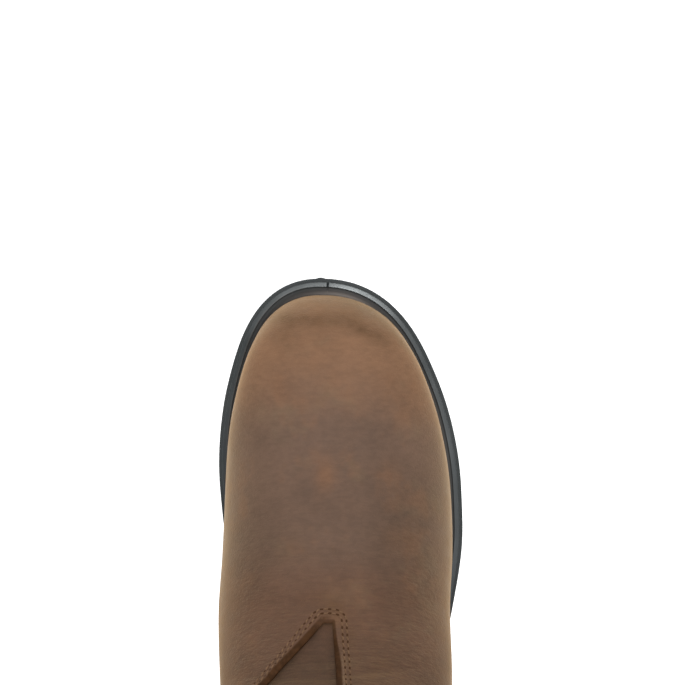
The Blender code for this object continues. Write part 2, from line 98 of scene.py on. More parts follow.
def add_soft_box(box):
    """A square light at a place in metres, turned to its aim."""
    lamp = bpy.data.lights.new(box.name, "AREA")
    lamp.shape = "SQUARE"
    lamp.size = box.size
    lamp.energy = box.watts
    holder = new_object(box.name, lamp)
    holder.location = box.place
    ray = Vector(box.aim) - Vector(box.place)
    holder.rotation_euler = ray.to_track_quat("-Z", "Y").to_euler()


for soft_box in SOFT_BOXES:
    add_soft_box(soft_box)
tent = bpy.data.worlds.new("tent")
tent.use_nodes = True
tent.node_tree.nodes["Background"].inputs["Color"].default_value = WHITE
tent.node_tree.nodes["Background"].inputs["Strength"].default_value = TENT_STRENGTH
bpy.context.scene.world = tent
bpy.context.scene.view_settings.view_transform = "Standard"
print("soft boxes:", [box.name for box in SOFT_BOXES])

# %% [markdown]
# ## Shader sums as Python
# A material is a sum of patterns. Written as node calls it takes a page, so one small class wraps a socket
# and lets `1 - mask` or `grain * 0.3` add the Math nodes. Whatever isn't plain arithmetic goes through
# `add`.

# %% A socket that can be reckoned with


class Value:
    """One output socket. Operators add Math nodes, and add() puts in any other node."""

    def __init__(self, tree, socket=None):
        self.tree = tree
        self.socket = socket

    def feed(self, node, sockets):
        """Links and plain values for a node's input sockets."""
        for name, value in sockets.items():
            if isinstance(value, Value):
                self.tree.links.new(value.socket, node.inputs[name])
            else:
                node.inputs[name].default_value = value

    def add(self, kind, settings=None, sockets=None, output=0):
        """A node of a kind: its settings first, then what its input sockets hold."""
        node = self.tree.nodes.new(kind)
        for name, setting in (settings or {}).items():
            setattr(node, name, setting)
        self.feed(node, sockets or {})
        return Value(self.tree, node.outputs[output])

    def math(self, operation, first, second):
        """One Math node on two values or numbers."""
        return self.add("ShaderNodeMath", {"operation": operation}, {0: first, 1: second})

    def __add__(self, other):
        return self.math("ADD", self, other)

    def __sub__(self, other):
        return self.math("SUBTRACT", self, other)

    def __rsub__(self, other):
        return self.math("SUBTRACT", other, self)

    def __mul__(self, other):
        return self.math("MULTIPLY", self, other)

    __radd__ = __add__
    __rmul__ = __mul__

    def ramp(self, low, high):
        """0 below low, 1 above high, eased between."""
        sockets = {"Value": self, "From Min": low, "From Max": high}
        return self.add("ShaderNodeMapRange", {"interpolation_type": "SMOOTHSTEP"}, sockets)

    def tint(self, first, second):
        """Colour between two colours or colour sockets, by this value."""
        first, second = (side if isinstance(side, Value) else (*side, 1.0) for side in (first, second))
        settings = {"data_type": "RGBA", "clamp_factor": True}
        return self.add("ShaderNodeMix", settings, {0: self, 6: first, 7: second}, output=2)

    def noise(self, scale, detail=2.0, roughness=0.5, stretch=(1.0, 1.0, 1.0)):
        """Noise over the piece, with a scale in patches per metre."""
        place = self.add("ShaderNodeTexCoord", output=3)
        spread = self.add("ShaderNodeMapping", sockets={"Vector": place, "Scale": stretch})
        sockets = {"Vector": spread, "Scale": scale, "Detail": detail, "Roughness": roughness}
        return self.add("ShaderNodeTexNoise", sockets=sockets)

    def cells(self, scale):
        """Distance pattern of scattered cells, with a scale in cells per metre."""
        place = self.add("ShaderNodeTexCoord", output=3)
        return self.add("ShaderNodeTexVoronoi", sockets={"Vector": place, "Scale": scale})

    def attribute(self, name):
        """A number that the mesh holds at each vertex."""
        return self.add("ShaderNodeAttribute", {"attribute_name": name}, output=2)

    def bump(self, height, distance, strength=1.0, **under):
        """Normal of a height times a distance in metres, on top of another Normal if one is given."""
        sockets = {"Height": height, "Distance": distance, "Strength": strength, **under}
        return self.add("ShaderNodeBump", sockets=sockets)


# %% [markdown]
# ## A material from a paint function
# Each finish is a short function that says what the sockets of a Principled shader hold, constants and
# sums alike. A panel's cut edge needs a coat with another gloss and no nap, so a material may mix two
# shaders by a number on the mesh.

# %% Material maker


def new_material(name, paint, over=None, mask=None):
    """A Principled material painted by paint(start), with a second one over it where an attribute says."""
    material = bpy.data.materials.new(name)
    material.use_nodes = True
    tree = material.node_tree
    start = Value(tree)
    shader = tree.nodes["Principled BSDF"]
    start.feed(shader, paint(start))
    if over:
        coat = start.add("ShaderNodeBsdfPrincipled", sockets=over(start))
        base = Value(tree, shader.outputs[0])
        both = start.add("ShaderNodeMixShader", sockets={0: start.attribute(mask), 1: base, 2: coat})
        start.feed(tree.nodes["Material Output"], {"Surface": both})
    print("finish:", name, "nodes:", len(tree.nodes))
    return material


# %% [markdown]
# ## Leather
# Oiled leather with a light nap: a dull brown that is never one colour. One brown with a bump would look
# like plastic, so broad patches from the hide and from handling pull it up and down, with rust and olive
# tints in places. The nap is a tan sheen towards the sides, the hide a fine bump, and near the instep thin
# wrinkles run across the foot, with their shade and light painted into the colour as well. Painted shade
# darkens the toe's crest and its steep wall, and a pale painted highlight runs beside the vamp's edge. The
# cut edge of a panel is burnished dark and has no nap, so it is a coat of its own.

# %% Leather finish
HIDE_COOL = (0.080, 0.0475, 0.033)
HIDE_WARM = (0.134, 0.070, 0.039)
HIDE_DEEP = (0.074, 0.037, 0.023)
HIDE_RUST = (0.126, 0.061, 0.032)
HIDE_OLIVE = (0.100, 0.069, 0.041)
HIDE_SMUDGE_AND_SHADE = (0.066, 0.033, 0.016)
HIDE_PAINTED_HIGHLIGHT = (0.170, 0.105, 0.066)
NAP_TAN = (1.0, 0.66, 0.27, 1.0)
EDGE_DARK = (0.031, 0.0135, 0.005)
EDGE_BROWN = (0.049, 0.0215, 0.0085)


def hide_grain(start):
    """Normal of pores and pebbles."""
    return start.bump(start.cells(1500.0) * 0.3 + start.noise(1100.0) * 0.5, 0.00030, 0.8)


def leather_paint(start):
    """Patches of brown, rust and olive over fine hide grain, under a nap."""
    patch = start.noise(34.0, 4.0, 0.6).ramp(0.32, 0.68)
    cloud = start.noise(115.0, 5.0, 0.65).ramp(0.30, 0.70)
    fleck = start.noise(460.0, 3.0, 0.6, (0.5, 1.0, 1.0)).ramp(0.35, 0.65)
    rust = start.noise(47.0, 3.0, 0.6, (1.0, 0.8, 1.0)).ramp(0.52, 0.70)
    olive = start.noise(39.0, 3.0, 0.6, (0.9, 1.0, 1.2)).ramp(0.54, 0.72)
    crinkle = start.noise(420.0, 3.0, 0.55, (0.22, 1.7, 1.7))
    wrinkle = start.attribute("wrinkle")
    colour = start.attribute("warm").tint(HIDE_COOL, HIDE_WARM)
    colour = start.attribute("deep").tint(colour, HIDE_DEEP)
    colour = (rust * 0.35 + start.attribute("rust")).tint(colour, HIDE_RUST)
    colour = (olive * 0.30).tint(colour, HIDE_OLIVE)
    # smudges, with painted shade on the toe's crest and in some darker patches
    colour = (start.attribute("smudge_and_shade") * (cloud * 0.7 + 0.5)).tint(colour, HIDE_SMUDGE_AND_SHADE)
    # painted highlight: a pale line beside the vamp's edge
    colour = start.attribute("rub").tint(colour, HIDE_PAINTED_HIGHLIGHT)
    shade = start.attribute("tone")
    # the crinkle also paints the wrinkles' shade and light into the colour: darker troughs, lighter crests
    for pattern, amount in ((patch, 0.16), (cloud, 0.11), (fleck, 0.10), (crinkle, wrinkle * 0.24)):
        shade = shade + (pattern - 0.5) * amount
    return {
        "Base Color": start.add("ShaderNodeVectorMath", {"operation": "SCALE"}, {0: colour, "Scale": shade}),
        "Roughness": 0.62 + cloud * 0.12,
        "Normal": start.bump(crinkle * wrinkle, 0.0008, 0.75, Normal=hide_grain(start)),
        "Specular IOR Level": 0.15,
        "Sheen Weight": 0.22,
        "Sheen Roughness": 0.55,
        "Sheen Tint": NAP_TAN,
    }


def edge_paint(start):
    """Burnished edge: dark brown, a little worn."""
    worn = start.noise(300.0, 3.0, 0.6).ramp(0.35, 0.70)
    return {
        "Base Color": worn.tint(EDGE_DARK, EDGE_BROWN),
        "Roughness": 0.65,
        "Normal": hide_grain(start),
        "Specular IOR Level": 0.05,
    }


leather = new_material("boot_leather", leather_paint, edge_paint, "cut")

# %% [markdown]
# ## Rubber
# The sole is moulded in one piece: black, a little blue where it mirrors the tent, with a faint stipple
# from the mould. Plain black would hide its shape, so two numbers on the mesh say where it is rubbed
# glossy and where it is pale in the valley behind the bead: partly dust, partly painted light that lifts
# the valley's shade.

# %% Rubber finish
RUBBER_BLACK = (0.012, 0.015, 0.016)
RUBBER_DUST_AND_LIGHT = (0.205, 0.180, 0.165)
RUBBER_MIRROR = (0.94, 0.99, 1.0, 1.0)


def rubber_paint(start):
    """Black, matt in the mould's grooves and glossier on its rubbed bead, with a fine moulded stipple."""
    cloud = start.noise(60.0, 3.0, 0.6).ramp(0.3, 0.7)
    specks = start.noise(220.0, 4.0, 0.7).ramp(0.55, 0.80)
    return {
        # the pale colour is partly dust and partly painted light that lifts the valley's shade
        "Base Color": (start.attribute("dust") + specks * 0.02).tint(RUBBER_BLACK, RUBBER_DUST_AND_LIGHT),
        "Roughness": 0.75 - start.attribute("polish") * 0.46 + cloud * 0.08,
        "Normal": start.bump(start.noise(1600.0, 2.0, 0.6), 0.00006, 0.5),
        "Specular IOR Level": 0.50,
        "Specular Tint": RUBBER_MIRROR,
    }


rubber = new_material("sole_rubber", rubber_paint)

# %% [markdown]
# ## Cloth, thread and floor
# The lining is a brushed cloth, the footbed a woven one, and the thread a twisted brown cord a shade paler
# than the hide. Each of the three is one pattern that gives both its colour and its relief. Needle holes
# are pits in shadow. The floor glows a little, so that it stays plain white around the boot.

# %% Other finishes
LINING_TANS = ((0.13, 0.085, 0.05), (0.30, 0.21, 0.13))
FOOTBED_GREYS = ((0.035, 0.032, 0.030), (0.12, 0.11, 0.10))
THREAD_BROWNS = ((0.078, 0.041, 0.022), (0.165, 0.096, 0.054))
PIT_BROWNS = ((0.030, 0.014, 0.006), (0.056, 0.027, 0.013))
FLOOR_WHITE = 0.93
FLOOR_GLOW = 0.60


def lining_paint(start):
    """Brushed tan cloth: short fibres."""
    fibres = start.noise(900.0, 3.0, 0.7)
    return {
        "Base Color": (fibres * 0.9).tint(*LINING_TANS),
        "Roughness": 0.95,
        "Normal": start.bump(fibres, 0.0004, 0.8),
        "Sheen Weight": 0.3,
    }


def footbed_paint(start):
    """Dark woven cloth on foam: threads along and across."""
    along = start.noise(1200.0, 1.0, 0.5, (1.0, 0.25, 1.0))
    weave = along + start.noise(1200.0, 1.0, 0.5, (0.25, 1.0, 1.0))
    return {
        "Base Color": (weave * 0.6).tint(*FOOTBED_GREYS),
        "Roughness": 0.95,
        "Normal": start.bump(weave, 0.0004, 0.8),
    }


def thread_paint(start):
    """Twisted brown thread, paler on its crowns."""
    strands = start.noise(1500.0, 2.0, 0.6, (1.0, 1.0, 0.5))
    return {
        "Base Color": strands.tint(*THREAD_BROWNS),
        "Roughness": 0.8,
        "Normal": start.bump(strands, 0.0002, 0.7),
        "Specular IOR Level": 0.10,
    }


def pit_paint(start):
    """Painted shadow in a needle hole."""
    return {
        "Base Color": start.noise(900.0).tint(*PIT_BROWNS),
        "Roughness": 0.9,
        "Specular IOR Level": 0.05,
    }


def floor_paint(start):
    """Matt white that glows."""
    return {
        "Base Color": (FLOOR_WHITE, FLOOR_WHITE, FLOOR_WHITE, 1.0),
        "Roughness": 0.9,
        "Specular IOR Level": 0.1,
        "Emission Color": WHITE,
        "Emission Strength": FLOOR_GLOW,
    }


lining_cloth = new_material("lining_cloth", lining_paint)
footbed_cloth = new_material("footbed_cloth", footbed_paint)
thread = new_material("thread", thread_paint)
pit = new_material("needle_pit", pit_paint)
floor_white = new_material("floor_paint", floor_paint)

# %% [markdown]
# ## The boot's sizes
# The solids were worked out from a few tables in millimetres, a row for each section. The same rows are
# used here, so a finer skin lies exactly on its solid. A place is (x, station, z): station is measured
# back from the tip of the sole. The sole needs its two edges, the line between them, its seat and its
# underside.

# %% Tables of the sole


def table(fields, *rows):
    """A table's columns by name, as arrays, from its rows."""
    return namedtuple("Table", fields)(*np.array(rows, dtype=float).T)


SOLE_PLAN = table(
    "station inner outer axis",
    (0, 65.1, -55.0, 9.8),
    (42, 60.2, -53.8, 8.9),
    (60, 59.7, -55.1, 8.5),
    (100, 57.7, -57.5, 7.4),
    (126, 54.4, -57.8, 6.8),
    (157, 45.0, -53.0, 6.2),
    (188, 38.6, -46.0, 3.8),
    (220, 37.8, -42.0, 2.4),
    (255, 39.4, -40.2, 2.0),
    (312, 40.5, -40.5, 1.5),
)
SOLE_HEIGHTS = table(
    "station seat base",
    (0, 31.0, 5.0),
    (30, 26.6, 5.0),
    (70, 22.6, 5.0),
    (115, 22.0, 5.0),
    (150, 25.0, 6.6),
    (190, 31.5, 13.5),
    (230, 37.4, 17.0),
    (270, 39.8, 17.6),
    (312, 40.4, 17.6),
)
print("sections of the sole:", len(SOLE_PLAN.station))

# %% [markdown]
# ## The upper's sizes
# The upper needs its widest plan and how high that lies, its front line from the toe up to the collar, its
# back line, and how far behind the front and before the back its plan is rounded.

# %% Tables of the upper
UPPER_PLAN = table(
    "station inner outer widest",
    (8, 59.7, -52.7, 40),
    (42, 54.3, -48.2, 41),
    (70, 54.8, -50.0, 42.6),
    (100, 54.8, -52.0, 44),
    (130, 55.5, -52.2, 54),
    (152, 56.6, -50.6, 68),
    (182, 55.3, -50.7, 102),
    (215, 55.2, -50.4, 138),
    (312, 54.8, -50.1, 165),
)
FRONT_LINE = table(
    "station height",
    (8.0, 40.0),
    (10.2, 49.0),
    (16.5, 58.5),
    (29.0, 66.5),
    (60.0, 73.5),
    (100.0, 82.5),
    (130.0, 94.0),
    (156.1, 108.5),
    (175.0, 123.5),
    (188.5, 142.5),
    (196.0, 168.0),
    (198.0, 200.0),
    (198.0, 240.0),
    (196.5, 275.0),
)
BACK_LINE = table(
    "station height",
    (303.5, 40.0),
    (306.5, 52.0),
    (307.3, 66.0),
    (305.3, 90.0),
    (301.0, 120.0),
    (299.0, 150.0),
    (300.0, 200.0),
    (301.5, 240.0),
    (303.0, 275.0),
)
ROUNDING = table(
    "height front back",
    (30, 95, 40),
    (44, 93, 40),
    (60, 68, 41),
    (80, 50, 43),
    (130, 48, 49),
    (165, 53, 52),
    (275, 55, 53),
)
print("sections of the upper:", len(UPPER_PLAN.station))

# %% [markdown]
# ## Curves through the tables
# Between the rows runs a smooth cubic: straight lines would leave a corner at every row, and one long
# polynomial would swing. Small helpers for easing, blending, rounding, directions and distances are used
# all through.

# %% Curves and helpers


def smooth_curve(keys, values):
    """Cubic curve through the values, with parabola slopes at the keys, flat beyond its ends."""
    spans = np.diff(keys)
    slopes = np.diff(values) / spans
    middle = (spans[:-1] * slopes[1:] + spans[1:] * slopes[:-1]) / (spans[:-1] + spans[1:])
    tangents = np.concatenate((slopes[:1], middle, slopes[-1:]))

    def at(key):
        key = np.clip(key, keys[0], keys[-1])
        k = np.clip(np.searchsorted(keys, key, side="right") - 1, 0, len(spans) - 1)
        t = (key - keys[k]) / spans[k]
        ends = values[k] * (1 + 2 * t) * (1 - t) ** 2 + values[k + 1] * t ** 2 * (3 - 2 * t)
        bends = tangents[k] * t * (1 - t) ** 2 - tangents[k + 1] * t ** 2 * (1 - t)
        return ends + bends * spans[k]

    return at


def table_curves(columns):
    """Smooth curves of a table's later columns against its first."""
    return [smooth_curve(columns[0], values) for values in columns[1:]]


def smooth_step(low, high, value):
    """Ease from 0 at low to 1 at high."""
    t = np.clip((value - low) / (high - low), 0.0, 1.0)
    return t * t * (3 - 2 * t)


def mix(first, second, share):
    """Straight blend of two values."""
    return first + (second - first) * share


def rounded(share, power):
    """Half-width share of a rounded end: a superellipse from 0 at the tip to 1 at the end of its run."""
    inside = 1.0 - np.clip(share, 0.0, 1.0)
    return np.clip(1.0 - inside ** power, 0.0, 1.0) ** (1.0 / power)


def unit(vectors):
    """Vectors of length one in the same directions."""
    return vectors / np.linalg.norm(vectors, axis=-1, keepdims=True)


def walked(path):
    """Distance walked along a path at each of its points."""
    return np.concatenate(([0.0], np.cumsum(np.linalg.norm(np.diff(path, axis=0), axis=1))))


sole_inner, sole_outer, centre_line = table_curves(SOLE_PLAN)
seat_height, plain_base = table_curves(SOLE_HEIGHTS)
print("seat at the ball in mm:", round(float(seat_height(110.0)), 2))

# %% [markdown]
# ## Meshes from grids
# Every piece is a grid of points, handed to Blender as whole arrays, because a loop over vertices would be
# slow and hard to read. The floor is the simplest grid of all, one cell.

# %% Grid to mesh
FLOOR_REACH = 4000.0


def place_mesh(name, points, quads, material, numbers=None):
    """Object from points in (x, station, z) millimetres and an array of four-cornered smooth faces."""
    mesh = bpy.data.meshes.new(name)
    places = (np.asarray(points) - (0.0, SOLE_LENGTH / 2, 0.0)) * MM
    mesh.vertices.add(len(places))
    mesh.vertices.foreach_set("co", places.astype(np.float32).ravel())
    mesh.loops.add(quads.size)
    mesh.loops.foreach_set("vertex_index", quads.astype(np.int32).ravel())
    mesh.polygons.add(len(quads))
    mesh.polygons.foreach_set("loop_start", np.arange(0, quads.size, 4, dtype=np.int32))
    mesh.polygons.foreach_set("use_smooth", np.ones(len(quads), dtype=bool))
    mesh.update(calc_edges=True)
    for key, values in (numbers or {}).items():
        layer = mesh.attributes.new(key, "FLOAT", "POINT")
        layer.data.foreach_set("value", np.asarray(values, dtype=np.float32).ravel())
    mesh.materials.append(material)
    return new_object(name, mesh)


def settle_piece(piece, slot, *nodes):
    """The piece rides on the one body and stands for solids; the slot is not used."""
    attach(piece, "root")
    if nodes:
        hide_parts(*nodes)
    print(piece.name, "faces:", len(piece.data.polygons))


floor_corners = np.array(((-1, -1, 0), (1, -1, 0), (1, 1, 0), (-1, 1, 0))) * FLOOR_REACH
floor = place_mesh("floor", floor_corners + (0.0, SOLE_LENGTH / 2, 0.0), np.arange(4)[None, :], floor_white)
print("floor in m:", [round(side, 1) for side in floor.dimensions])

# %% [markdown]
# ## Closed bodies
# A sheet needs a second grid behind the first and a rim where the two end. Index arithmetic finds that
# rim: it is every cell edge that no neighbouring cell shares. A solid is a stack of rings with a ladder
# across both ends.

# %% Sheets and lofts


def grid_quads(rows, columns, closed=False):
    """Corner numbers of the cells of a grid, as an array of rows, columns and four corners."""
    row = np.arange(rows - 1)[:, None]
    col = np.arange(columns if closed else columns - 1)[None, :]
    following = (col + 1) % columns
    low, high = row * columns, (row + 1) * columns
    return np.stack(np.broadcast_arrays(low + col, low + following, high + following, high + col), axis=-1)


def shell(front, back, cells=None, closed=False):
    """Points, faces and kept point numbers of a closed sheet between two like grids, over chosen cells."""
    rows, columns = front.shape[:2]
    behind = rows * columns
    quads = grid_quads(rows, columns, closed)
    quads = quads.reshape(-1, 4) if cells is None else quads[cells]
    starts = quads.ravel()
    ends = np.roll(quads, -1, axis=1).ravel()
    open_edge = ~np.isin(starts * behind + ends, ends * behind + starts)
    starts, ends = starts[open_edge], ends[open_edge]
    rim = np.stack((ends, starts, starts + behind, ends + behind), axis=-1)
    faces = np.concatenate((quads, quads[:, ::-1] + behind, rim))
    kept, numbers = np.unique(faces, return_inverse=True)
    points = np.concatenate((front.reshape(-1, 3), back.reshape(-1, 3)))
    return points[kept], numbers.reshape(-1, 4), kept


def loft(rings):
    """Points and faces of a closed body through rings of equal, even count, with a ladder on each end."""
    rings = np.asarray(rings)
    count = rings.shape[1]
    sides = grid_quads(len(rings), count, closed=True).reshape(-1, 4)
    step = np.arange(count // 2 - 1)
    ladder = np.stack((step, step + 1, count - 2 - step, count - 1 - step), axis=-1)
    faces = np.concatenate((sides, ladder[:, ::-1], ladder + (len(rings) - 1) * count))
    return rings.reshape(-1, 3), faces


def repeat_faces(faces, copies, points_each):
    """Faces of many like bodies whose points follow one another."""
    return (faces[None] + np.arange(copies)[:, None, None] * points_each).reshape(-1, 4)


def with_height(plan, height):
    """Points at a height over plan points."""
    return np.concatenate((plan, np.reshape(height, plan.shape[:-1] + (1,))), axis=-1)


print("cells of a 3 by 4 grid:", grid_quads(3, 4).shape[:2])

# %% [markdown]
# ## Outline of the sole
# The sole's plan could be a drawn curve, but then its toe could not be tuned by itself. So it is two edge
# curves that close on the centre line like a superellipse at toe and heel. Underneath, the toe springs up
# from the floor.

# %% Outline of the sole
TOE_RUN = 105.0
TOE_POWER = 2.2
HEEL_RUN = 42.0
HEEL_POWER = 2.3
TOE_SPRING = 10.0
TOE_SPRING_END = 72.0
HEEL_BEVEL = 3.0
HEEL_BEVEL_START = 290.0


def tread_lift(station):
    """Height of the tread above the floor: toe spring in front and a small bevel behind."""
    toe = np.clip(1.0 - station / TOE_SPRING_END, 0.0, 1.0) ** 2
    heel = np.clip((station - HEEL_BEVEL_START) / (SOLE_LENGTH - HEEL_BEVEL_START), 0.0, 1.0) ** 2
    return TOE_SPRING * toe + HEEL_BEVEL * heel


def base_height(station):
    """Underside of the sole between its lugs."""
    return plain_base(station) + tread_lift(station)


def sole_ring(angles):
    """Plan of the sole's outermost edge as (x, station) for angles round the sole, 0 at the toe."""
    station = SOLE_LENGTH / 2 * (1.0 - np.cos(angles))
    axis = centre_line(station)
    edge = np.where(np.sin(angles) > 0, sole_inner(station), sole_outer(station))
    toe = rounded(station / TOE_RUN, TOE_POWER)
    heel = rounded((SOLE_LENGTH - station) / HEEL_RUN, HEEL_POWER)
    return np.stack((axis + (edge - axis) * toe * heel, station), axis=-1)


def ring_angles(count):
    """Evenly spread angles in symmetric pairs, none of them exactly at the toe or heel."""
    return (np.arange(count) + 0.5) * 2 * np.pi / count


def to_inside(along):
    """Directions a quarter turn to the inside of a plan ring that is walked inner side first."""
    return np.stack((-along[:, 1], along[:, 0]), axis=-1)


def inset_ring(ring, amount):
    """A closed plan ring moved inwards along its own normals."""
    along = unit(np.roll(ring, -1, axis=0) - np.roll(ring, 1, axis=0))
    return ring + to_inside(along) * amount


print("sole's width in mm:", round(float(np.ptp(sole_ring(ring_angles(360))[:, 0])), 1))

# %% [markdown]
# ## Moulded wall of the sole
# One moulding: a bottom edge, a wall with a groove half way up, a bead that stands up round the leather
# and a valley behind it. Drawn as a solid it would need many cuts, so the wall is a profile, a row for
# each bend, with a smooth curve through its rows. A few more points of the outline lie close together at
# the toe, where the mould parts.

# %% Profile of the wall
RIM_POINTS = 640
WALL_STEPS_BETWEEN = 4
SOLE_WALL = table(
    "outset share rise polish dust",
    (-2.4, 0.00, 0.0, 0.3, 0.0),
    (-1.2, 0.00, 1.4, 0.5, 0.0),
    (-0.9, 0.50, -0.6, 0.5, 0.0),
    (-2.3, 0.50, 0.4, 0.2, 0.1),
    (-2.3, 0.50, 2.0, 0.2, 0.1),
    (-0.3, 0.50, 3.0, 0.5, 0.0),
    (0.0, 1.00, -0.9, 0.3, 0.0),
    (-0.15, 1.00, -0.35, 0.2, 0.0),
    (-1.4, 1.00, 0.05, 0.0, 0.07),
    (-1.65, 1.00, 0.85, 0.4, 0.0),
    (-1.85, 1.00, 1.22, 0.9, 0.0),
    (-2.15, 1.00, 1.33, 1.0, 0.0),
    (-3.6, 1.00, 1.58, 1.0, 0.0),
    (-3.9, 1.00, 1.55, 0.9, 0.03),
    (-4.15, 1.00, 1.3, 0.3, 0.14),
    (-4.5, 1.00, 1.0, 0.0, 0.26),
    (-5.2, 1.00, 0.8, 0.0, 0.38),
    (-5.7, 1.00, 0.6, 0.0, 0.50),
    (-6.1, 1.00, 0.4, 0.0, 0.80),
    (-6.6, 1.00, 0.1, 0.0, 1.0),
)
NICK_ANGLES = np.linspace(0.022, 0.052, 31)

rim_angles = np.sort(np.concatenate((ring_angles(RIM_POINTS), NICK_ANGLES, 2 * np.pi - NICK_ANGLES)))
rim_plan = sole_ring(rim_angles)
rim_x, rim_station = rim_plan.T
at_toe = rim_station < TOE_RUN / 4
wall_keys = np.arange(len(SOLE_WALL.rise), dtype=float)
wall_walk = np.linspace(0.0, wall_keys[-1], (len(wall_keys) - 1) * WALL_STEPS_BETWEEN + 1)
wall = SOLE_WALL._make(smooth_curve(wall_keys, values)(wall_walk) for values in SOLE_WALL)
print("rim points and wall steps:", len(rim_plan), len(wall_walk))

# %% [markdown]
# ## Gloss, dust and painted light on the rim
# The bead is rubbed glossy round the toe and along the outer side. The valley behind it is pale, most of
# all in front: partly dust, partly painted light that lifts its shade, stronger on the outer side where the
# light falls. A pale painted line also runs along the back edge of the bead on the inner side. A texture
# would have to be fitted to the rim, so both are numbers on the mesh, worked out from the step of the wall
# and the place on the rim.

# %% Gloss, dust and painted light
RUB_X = -10.0
RUB_INNER_WIDE = 70.0
RUB_OUTER_WIDE = 24.0
RUB_END = (8.0, 34.0)
TOE_GLOSS = 0.7
RUN_GLOSS_OUTER = 0.60
RUN_GLOSS_INNER = 0.15
RUN_GLOSS_TURN = (-20.0, 20.0)
DUST_AND_LIGHT_OUTER = 0.52
DUST_AND_LIGHT_INNER = 0.27
DUST_AND_LIGHT_TURN = (-10.0, 25.0)
TOE_PALE = 0.50
TOE_PALE_X = -4.0
TOE_PALE_WIDE = 13.0
BEAD_FILM = 0.008
BEAD_EDGE_LIGHT = 0.106
BEAD_EDGE_LIGHT_START = (10.0, 40.0)
BEAD_EDGE = -3.75
BEAD_EDGE_WIDE = 0.45


def toe_bell(x, wide, power=2):
    """A bell on the toe's rim, 1 at x."""
    return np.exp(-((rim_x - x) / wide) ** power) * at_toe


def bead_polish():
    """Gloss of the bead round the sole: a bell on the toe, wider to the inner side, over a duller run."""
    off = rim_x - RUB_X
    toe = np.exp(-(off / np.where(off > 0, RUB_INNER_WIDE, RUB_OUTER_WIDE)) ** 2)
    toe = toe * (1.0 - smooth_step(*RUB_END, rim_station))
    run = mix(RUN_GLOSS_OUTER, RUN_GLOSS_INNER, smooth_step(*RUN_GLOSS_TURN, rim_x))
    return np.clip(run + TOE_GLOSS * toe, 0.0, 1.0)


def wall_dust_and_light():
    """Dust and painted light by wall step and rim place: in the valley, more at the toe and outer side, and
    on the inner bead.
    """
    steps = np.clip(wall.dust, 0.0, 1.0)[:, None]
    # painted light: the valley is paler on the outer side, where the light falls
    valley = steps * mix(DUST_AND_LIGHT_OUTER, DUST_AND_LIGHT_INNER, smooth_step(*DUST_AND_LIGHT_TURN, rim_x))
    front = steps ** 2 * TOE_PALE * toe_bell(TOE_PALE_X, TOE_PALE_WIDE)
    # painted light: a pale line along the bead's back edge, on the inner side
    edge = BEAD_FILM + BEAD_EDGE_LIGHT * np.exp(-((wall.outset[:, None] - BEAD_EDGE) / BEAD_EDGE_WIDE) ** 2)
    return valley + front + edge * smooth_step(*BEAD_EDGE_LIGHT_START, rim_x)


rim_finish = {"polish": np.clip(wall.polish, 0.0, 1.0)[:, None] * bead_polish(), "dust": wall_dust_and_light()}
print("most dust:", round(float(rim_finish["dust"].max()), 2))

# %% [markdown]
# ## The moulding
# The wall is carried round the outline ring by ring, from its bottom edge up and over the bead into the
# valley. Where the mould parted, at the toe, the bead has a nick and the rim a small tab of flash.

# %% Sole moulding
NICK_X = 6.1
NICK_WIDTH = 0.28
NICK_DEPTH = 1.1
NICK_RISES = (0.2, 1.6)
FLASH_X = 9.6
FLASH_WIDTH = 1.7
FLASH_OUT = 0.5
FLASH_OUTSETS = (-2.5, 0.0)

nick = NICK_DEPTH * toe_bell(NICK_X, NICK_WIDTH)
flash = FLASH_OUT * toe_bell(FLASH_X, FLASH_WIDTH, power=4)
sole_rings = []
for outset, share, rise in zip(wall.outset, wall.share, wall.rise):
    ring = inset_ring(rim_plan, -outset - (flash * smooth_step(*FLASH_OUTSETS, outset))[:, None])
    height = mix(base_height(ring[:, 1]), seat_height(ring[:, 1]), share) + rise
    sole_rings.append(with_height(ring, height - nick * smooth_step(*NICK_RISES, rise)))
sole = place_mesh("sole_moulding", *loft(sole_rings), rubber, rim_finish)
settle_piece(sole, "sole_rubber", "outsole")

# %% [markdown]
# ## Heel block
# Under the moulding sits the heel block, a loft of the outline behind the breast, with a shallow groove
# round it and a worn bottom edge.

# %% Heel block
HEEL_BREAST = 216.0
HEEL_BLOCK_INSET = 2.0
HEEL_BLOCK_BOTTOM = 6.0
LUG_EMBED = 2.0
HeelStep = namedtuple("HeelStep", "inset share rise")
HEEL_WALL = (
    HeelStep(0.6, 0.0, 0.0),
    HeelStep(0.0, 0.0, 0.6),
    HeelStep(0.0, 0.45, 0.0),
    HeelStep(0.7, 0.55, 0.0),
    HeelStep(0.7, 0.62, 0.0),
    HeelStep(0.0, 1.0, 0.0),
    HeelStep(0.0, 1.0, LUG_EMBED),
)


def heel_bottom(station):
    """Underside of the heel block between its lugs."""
    return HEEL_BLOCK_BOTTOM + tread_lift(station)


heel_plan = inset_ring(rim_plan, HEEL_BLOCK_INSET)[rim_station > HEEL_BREAST]
heel_inward = unit(heel_plan.mean(axis=0) - heel_plan)
heel_rings = []
for step in HEEL_WALL:
    ring = heel_plan + heel_inward * step.inset
    height = mix(heel_bottom(ring[:, 1]), base_height(ring[:, 1]), step.share)
    heel_rings.append(with_height(ring, height + step.rise))
heel = place_mesh("heel_block", *loft(heel_rings), rubber)
settle_piece(heel, "sole_rubber")

# %% [markdown]
# ## Tread
# A lug is a short prism whose plan follows the rim, and a bar points to the toe between the rows of lugs.
# All have six corners, so all lugs are one array: their corners are rounded by cutting them twice, and
# four rings give each a wall and a worn bottom edge.

